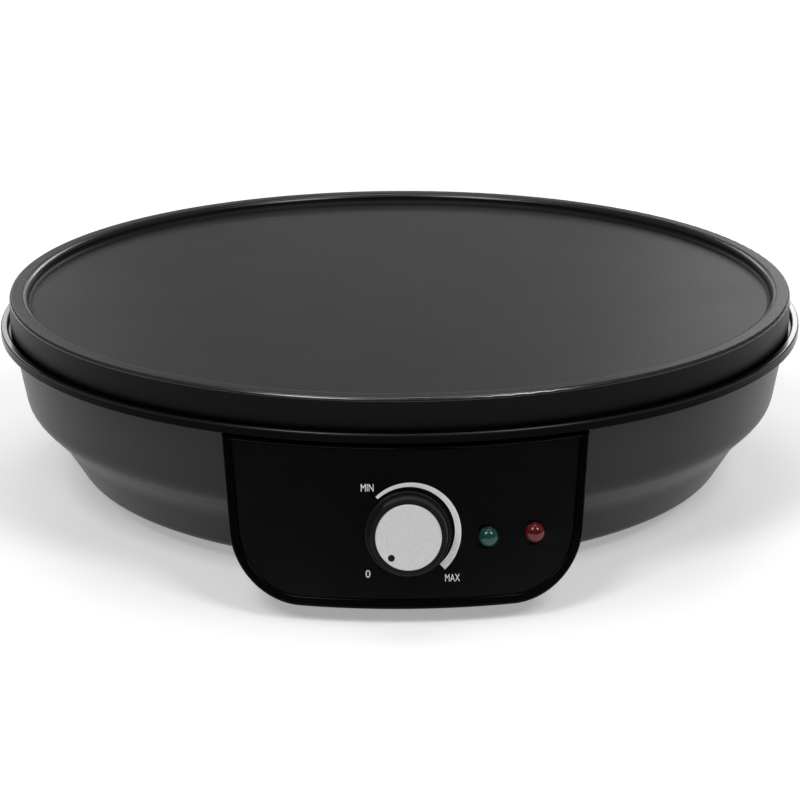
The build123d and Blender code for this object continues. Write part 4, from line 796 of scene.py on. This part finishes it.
# %% MIN, MAX and 0
MERGE_WITHIN = 0.0001
MARKS_MM = {  # text, middle (u, v), width and height
    "word_min": ("MIN", -13.41, 15.12, 4.2, 2.5),
    "word_max": ("MAX", 14.67, -15.2, 4.93, 2.46),
    "figure_0": ("0", -13.35, -13.68, 1.55, 2.53),
}


def stretched_to(values, middle, size):
    """Move and scale values so that they fill a size round a middle."""
    low, high = min(values), max(values)
    return [middle + size * ((value - low) / (high - low) - 0.5) for value in values]


def lettering(name, text, u, v, width, height):
    """Print a word centred on (u, v), exactly as wide and high as given."""
    words = bpy.data.curves.new(name, "FONT")
    words.body = text
    words.fill_mode = "FRONT"
    holder = bpy.data.objects.new(name, words)
    drawn = bpy.data.meshes.new_from_object(holder)
    flat = bmesh.new()
    flat.from_mesh(drawn)
    bmesh.ops.remove_doubles(flat, verts=flat.verts, dist=MERGE_WITHIN)
    across = stretched_to([vertex.co.x for vertex in flat.verts], u, width)
    upright = stretched_to([vertex.co.y for vertex in flat.verts], v, height)
    for vertex, new_x, new_y in zip(flat.verts, across, upright):
        vertex.co.x = new_x
        vertex.co.y = new_y
    bpy.data.objects.remove(holder)
    bpy.data.meshes.remove(drawn)
    layer_of_ink(name, flat, plain_ink)


for mark_name, (text, *sizes_mm) in MARKS_MM.items():
    lettering(mark_name, text, *(size * MM for size in sizes_mm))
print(f"printed {', '.join(text for text, *_ in MARKS_MM.values())}")

# %% [markdown]
# ## A blank label underneath
#
# Such an appliance has a foil label on its underside. It stays blank here: a thin rounded plate of
# foil, stuck to the bowl's floor between the vents and the cord's inlet. The foil is brushed one
# way. A stretched noise gives that, and it fits the label's own coordinates without an image.


# %% Label foil
def label_foil():
    foil = Finish("label_foil", Metallic=0.6)
    brushed = foil.vectors("MULTIPLY", foil.place, (0.05, 1, 1))
    clouds = foil.noise(9 * MM, detail=4)
    grain = foil.noise(0.3 * MM, detail=2, place=brushed)
    foil.set("Base Color", foil.blend(clouds, (0.42, 0.42, 0.43), (0.56, 0.56, 0.57)))
    foil.set("Roughness", 0.36 + 0.12 * clouds + 0.08 * grain)
    foil.bump(clouds * (0.02 * MM) + grain * (0.002 * MM))
    return foil.material


label_finish = label_foil()
print(f"foil of {len(label_finish.node_tree.nodes)} nodes")

# %% [markdown]
# ### The plate of foil
#
# The label could be a box with a Bevel modifier, but its four upright edges would have to be picked
# out first. An outline of four arcs is simpler. A face that was only just made has no normal yet,
# so it gets one before it is thickened along it.

# %% The label
LABEL_WIDTH = 52 * MM
LABEL_DEPTH = 24 * MM
LABEL_CORNER = 2 * MM
LABEL_THICKNESS = 0.15 * MM
LABEL_SUNK = 0.05 * MM
LABEL_FROM_AXIS = 82 * MM
CORNER_STEPS = 6

label = bmesh.new()
outline = []
for quarter in range(4):
    middle_x = (LABEL_WIDTH / 2 - LABEL_CORNER) * (1 if quarter in (0, 3) else -1)
    middle_y = (LABEL_DEPTH / 2 - LABEL_CORNER) * (1 if quarter in (0, 1) else -1)
    for corner_step in range(CORNER_STEPS + 1):
        angle = math.radians(90 * quarter + 90 * corner_step / CORNER_STEPS)
        x = middle_x + LABEL_CORNER * math.cos(angle)
        y = middle_y + LABEL_CORNER * math.sin(angle)
        outline.append(label.verts.new((x, y, 0)))
face = label.faces.new(outline)
face.normal_update()
bmesh.ops.solidify(label, geom=[face], thickness=LABEL_THICKNESS)
bmesh.ops.recalc_face_normals(label, faces=label.faces[:])
levels = [vertex.co.z for vertex in label.verts]
lowest, highest = min(levels), max(levels)
blank_label = new_object("blank_label", label, label_finish)
label_level = housing_low.z - highest + LABEL_SUNK
blank_label.location = (plate_centre.x, plate_centre.y + LABEL_FROM_AXIS, label_level)
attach(blank_label, "housing")
print(f"label {(highest - lowest) / MM:.2f} mm thick, under z = {housing_low.z / MM:.2f} mm")

# %% [markdown]
# ## The floor
#
# The floor is plain and pale. It glows a little by itself, so that it stays white wherever no
# shadow lies: a stronger light would do the same, but it would bleach the object too. From below
# the floor is clear, so that the underside can be looked at.

# %% Floor
FLOOR_REACH = 6.0
FLOOR_GLOW = 0.35
WHITE = (1.0, 1.0, 1.0, 1.0)


def floor_paper():
    glow = {"Emission_Color": WHITE, "Emission_Strength": FLOOR_GLOW}
    paper = Finish("floor_paper", Specular_IOR_Level=0.2, **glow)
    fibres = paper.noise(60 * MM, detail=3)
    paper.set("Base Color", paper.blend(fibres, (0.86, 0.86, 0.86), (0.88, 0.88, 0.88)))
    paper.set("Roughness", 0.8 + 0.1 * fibres)
    from_below = paper.node("ShaderNodeNewGeometry", output="Backfacing")
    clear = paper.node("ShaderNodeBsdfTransparent", output="BSDF")
    layers = {0: from_below, 1: paper.whole, 2: clear}
    sheet = paper.node("ShaderNodeMixShader", None, layers, output="Shader")
    surface = paper.tree.nodes["Material Output"].inputs["Surface"]
    paper.tree.links.new(sheet.socket, surface)
    return paper.material


floor_drawing = bmesh.new()
signs = [(-1, -1), (1, -1), (1, 1), (-1, 1)]
corners = [(x * FLOOR_REACH, y * FLOOR_REACH, 0) for x, y in signs]
floor_drawing.faces.new([floor_drawing.verts.new(corner) for corner in corners])
floor = new_object("floor", floor_drawing, floor_paper())
print(f"floor {2 * FLOOR_REACH:.0f} m across")

# %% [markdown]
# ## Lights
#
# The light is soft, as in a studio. An image wrapped round the scene could give it, but area lights
# can be moved one by one until each draws its own line. One box hangs overhead. Two high boxes in
# front draw the bright lines on the rim's near edge and the spots on the lenses. Two tall boxes
# behind are mirrored by the plate, towards its left and its right. A low one stands between them.


# %% Lights
def softbox(name, place, width, height, watts):
    """A rectangular area light, faced to the middle of the plate and hidden from the camera."""
    lamp = bpy.data.lights.new(name, "AREA")
    lamp.shape = "RECTANGLE"
    lamp.size = width
    lamp.size_y = height
    lamp.energy = watts
    box = bpy.data.objects.new(name, lamp)
    bpy.context.scene.collection.objects.link(box)
    box.location = place
    box.rotation_mode = "QUATERNION"
    box.rotation_quaternion = (plate_centre - Vector(place)).to_track_quat("-Z", "Y")
    box.visible_camera = False


softboxes = {
    "overhead_box": {"place": (0.0, 0.3, 1.5), "width": 0.9, "height": 0.6, "watts": 4.0},
    "front_left_box": {"place": (-0.6, -0.9, 1.4), "width": 0.5, "height": 0.7, "watts": 9.0},
    "front_right_box": {"place": (0.8, -0.9, 1.4), "width": 0.5, "height": 0.7, "watts": 9.0},
    "back_left_box": {"place": (-0.65, 1.9, 0.85), "width": 0.5, "height": 0.8, "watts": 4.2},
    "back_right_box": {"place": (0.65, 1.9, 0.85), "width": 0.5, "height": 0.8, "watts": 7.0},
    "back_box": {"place": (0.0, 1.9, 0.48), "width": 0.4, "height": 0.16, "watts": 0.5},
}
for box_name, box_settings in softboxes.items():
    softbox(box_name, **box_settings)
print(f"{len(softboxes)} softboxes")

# %% [markdown]
# ## The room
#
# The room adds a weak, even light from everywhere. It could be one plain grey, but the polished
# panel leans back and mirrors what is in front of it, and grey would wash out its black. So the
# room is darker there, below a certain height.

# %% World
ROOM_STRENGTH = 0.22
FRONT_DARKENING = 0.20
DARK_IN_FRONT = (-0.1, -0.6)
DARK_BELOW = (0.7, 0.3)

world = bpy.data.worlds.new("studio")
bpy.context.scene.world = world
world.use_nodes = True
room = Nodes(world.node_tree)
direction = room.node("ShaderNodeTexCoord", output="Generated")
backward = room.node("ShaderNodeSeparateXYZ", None, {0: direction}, output="Y")
upward = room.node("ShaderNodeSeparateXYZ", None, {0: direction}, output="Z")
dark_front = room.step(backward, *DARK_IN_FRONT) * room.step(upward, *DARK_BELOW)
strength = ROOM_STRENGTH - FRONT_DARKENING * dark_front
backdrop = world.node_tree.nodes["Background"]
room.tree.links.new(strength.socket, backdrop.inputs["Strength"])
backdrop.inputs["Color"].default_value = WHITE
print(f"room strength {ROOM_STRENGTH}, {ROOM_STRENGTH - FRONT_DARKENING:.2f} in front")

# %% [markdown]
# ## The camera
#
# A long lens from 0.9 m away keeps the near and the far rim in proportion. The camera stands in
# front of the plate's axis, a little to one side, and looks down into the dish. Its place is given
# from the plate, so it follows the model. A Track To constraint could aim it, but three angles also
# hold its slight roll. The Standard view transform keeps the blacks black.

# %% Camera
LENS = 107.9
SENSOR_WIDTH = 36.0
DISTANCE = 0.900
HEIGHT_OVER_RIM = 0.2453
HEADING = math.radians(-0.75)
PITCH = math.radians(18.15)
ROLL = math.radians(-0.216)

camera_data = bpy.data.cameras.new("camera")
camera_data.lens = LENS
camera_data.sensor_width = SENSOR_WIDTH
camera = bpy.data.objects.new("camera", camera_data)
bpy.context.scene.collection.objects.link(camera)
away = Vector((math.sin(HEADING), -math.cos(HEADING), 0)) * DISTANCE
viewpoint = (plate_centre.x + away.x, plate_centre.y + away.y, plate_high.z + HEIGHT_OVER_RIM)
aim = Matrix.Rotation(HEADING, 4, "Z") @ Matrix.Rotation(math.pi / 2 - PITCH, 4, "X")
camera.matrix_world = Matrix.Translation(viewpoint) @ aim @ Matrix.Rotation(ROLL, 4, "Z")
bpy.context.scene.camera = camera
bpy.context.scene.view_settings.view_transform = "Standard"
print(f"camera at {camera.matrix_world.translation[:]}")
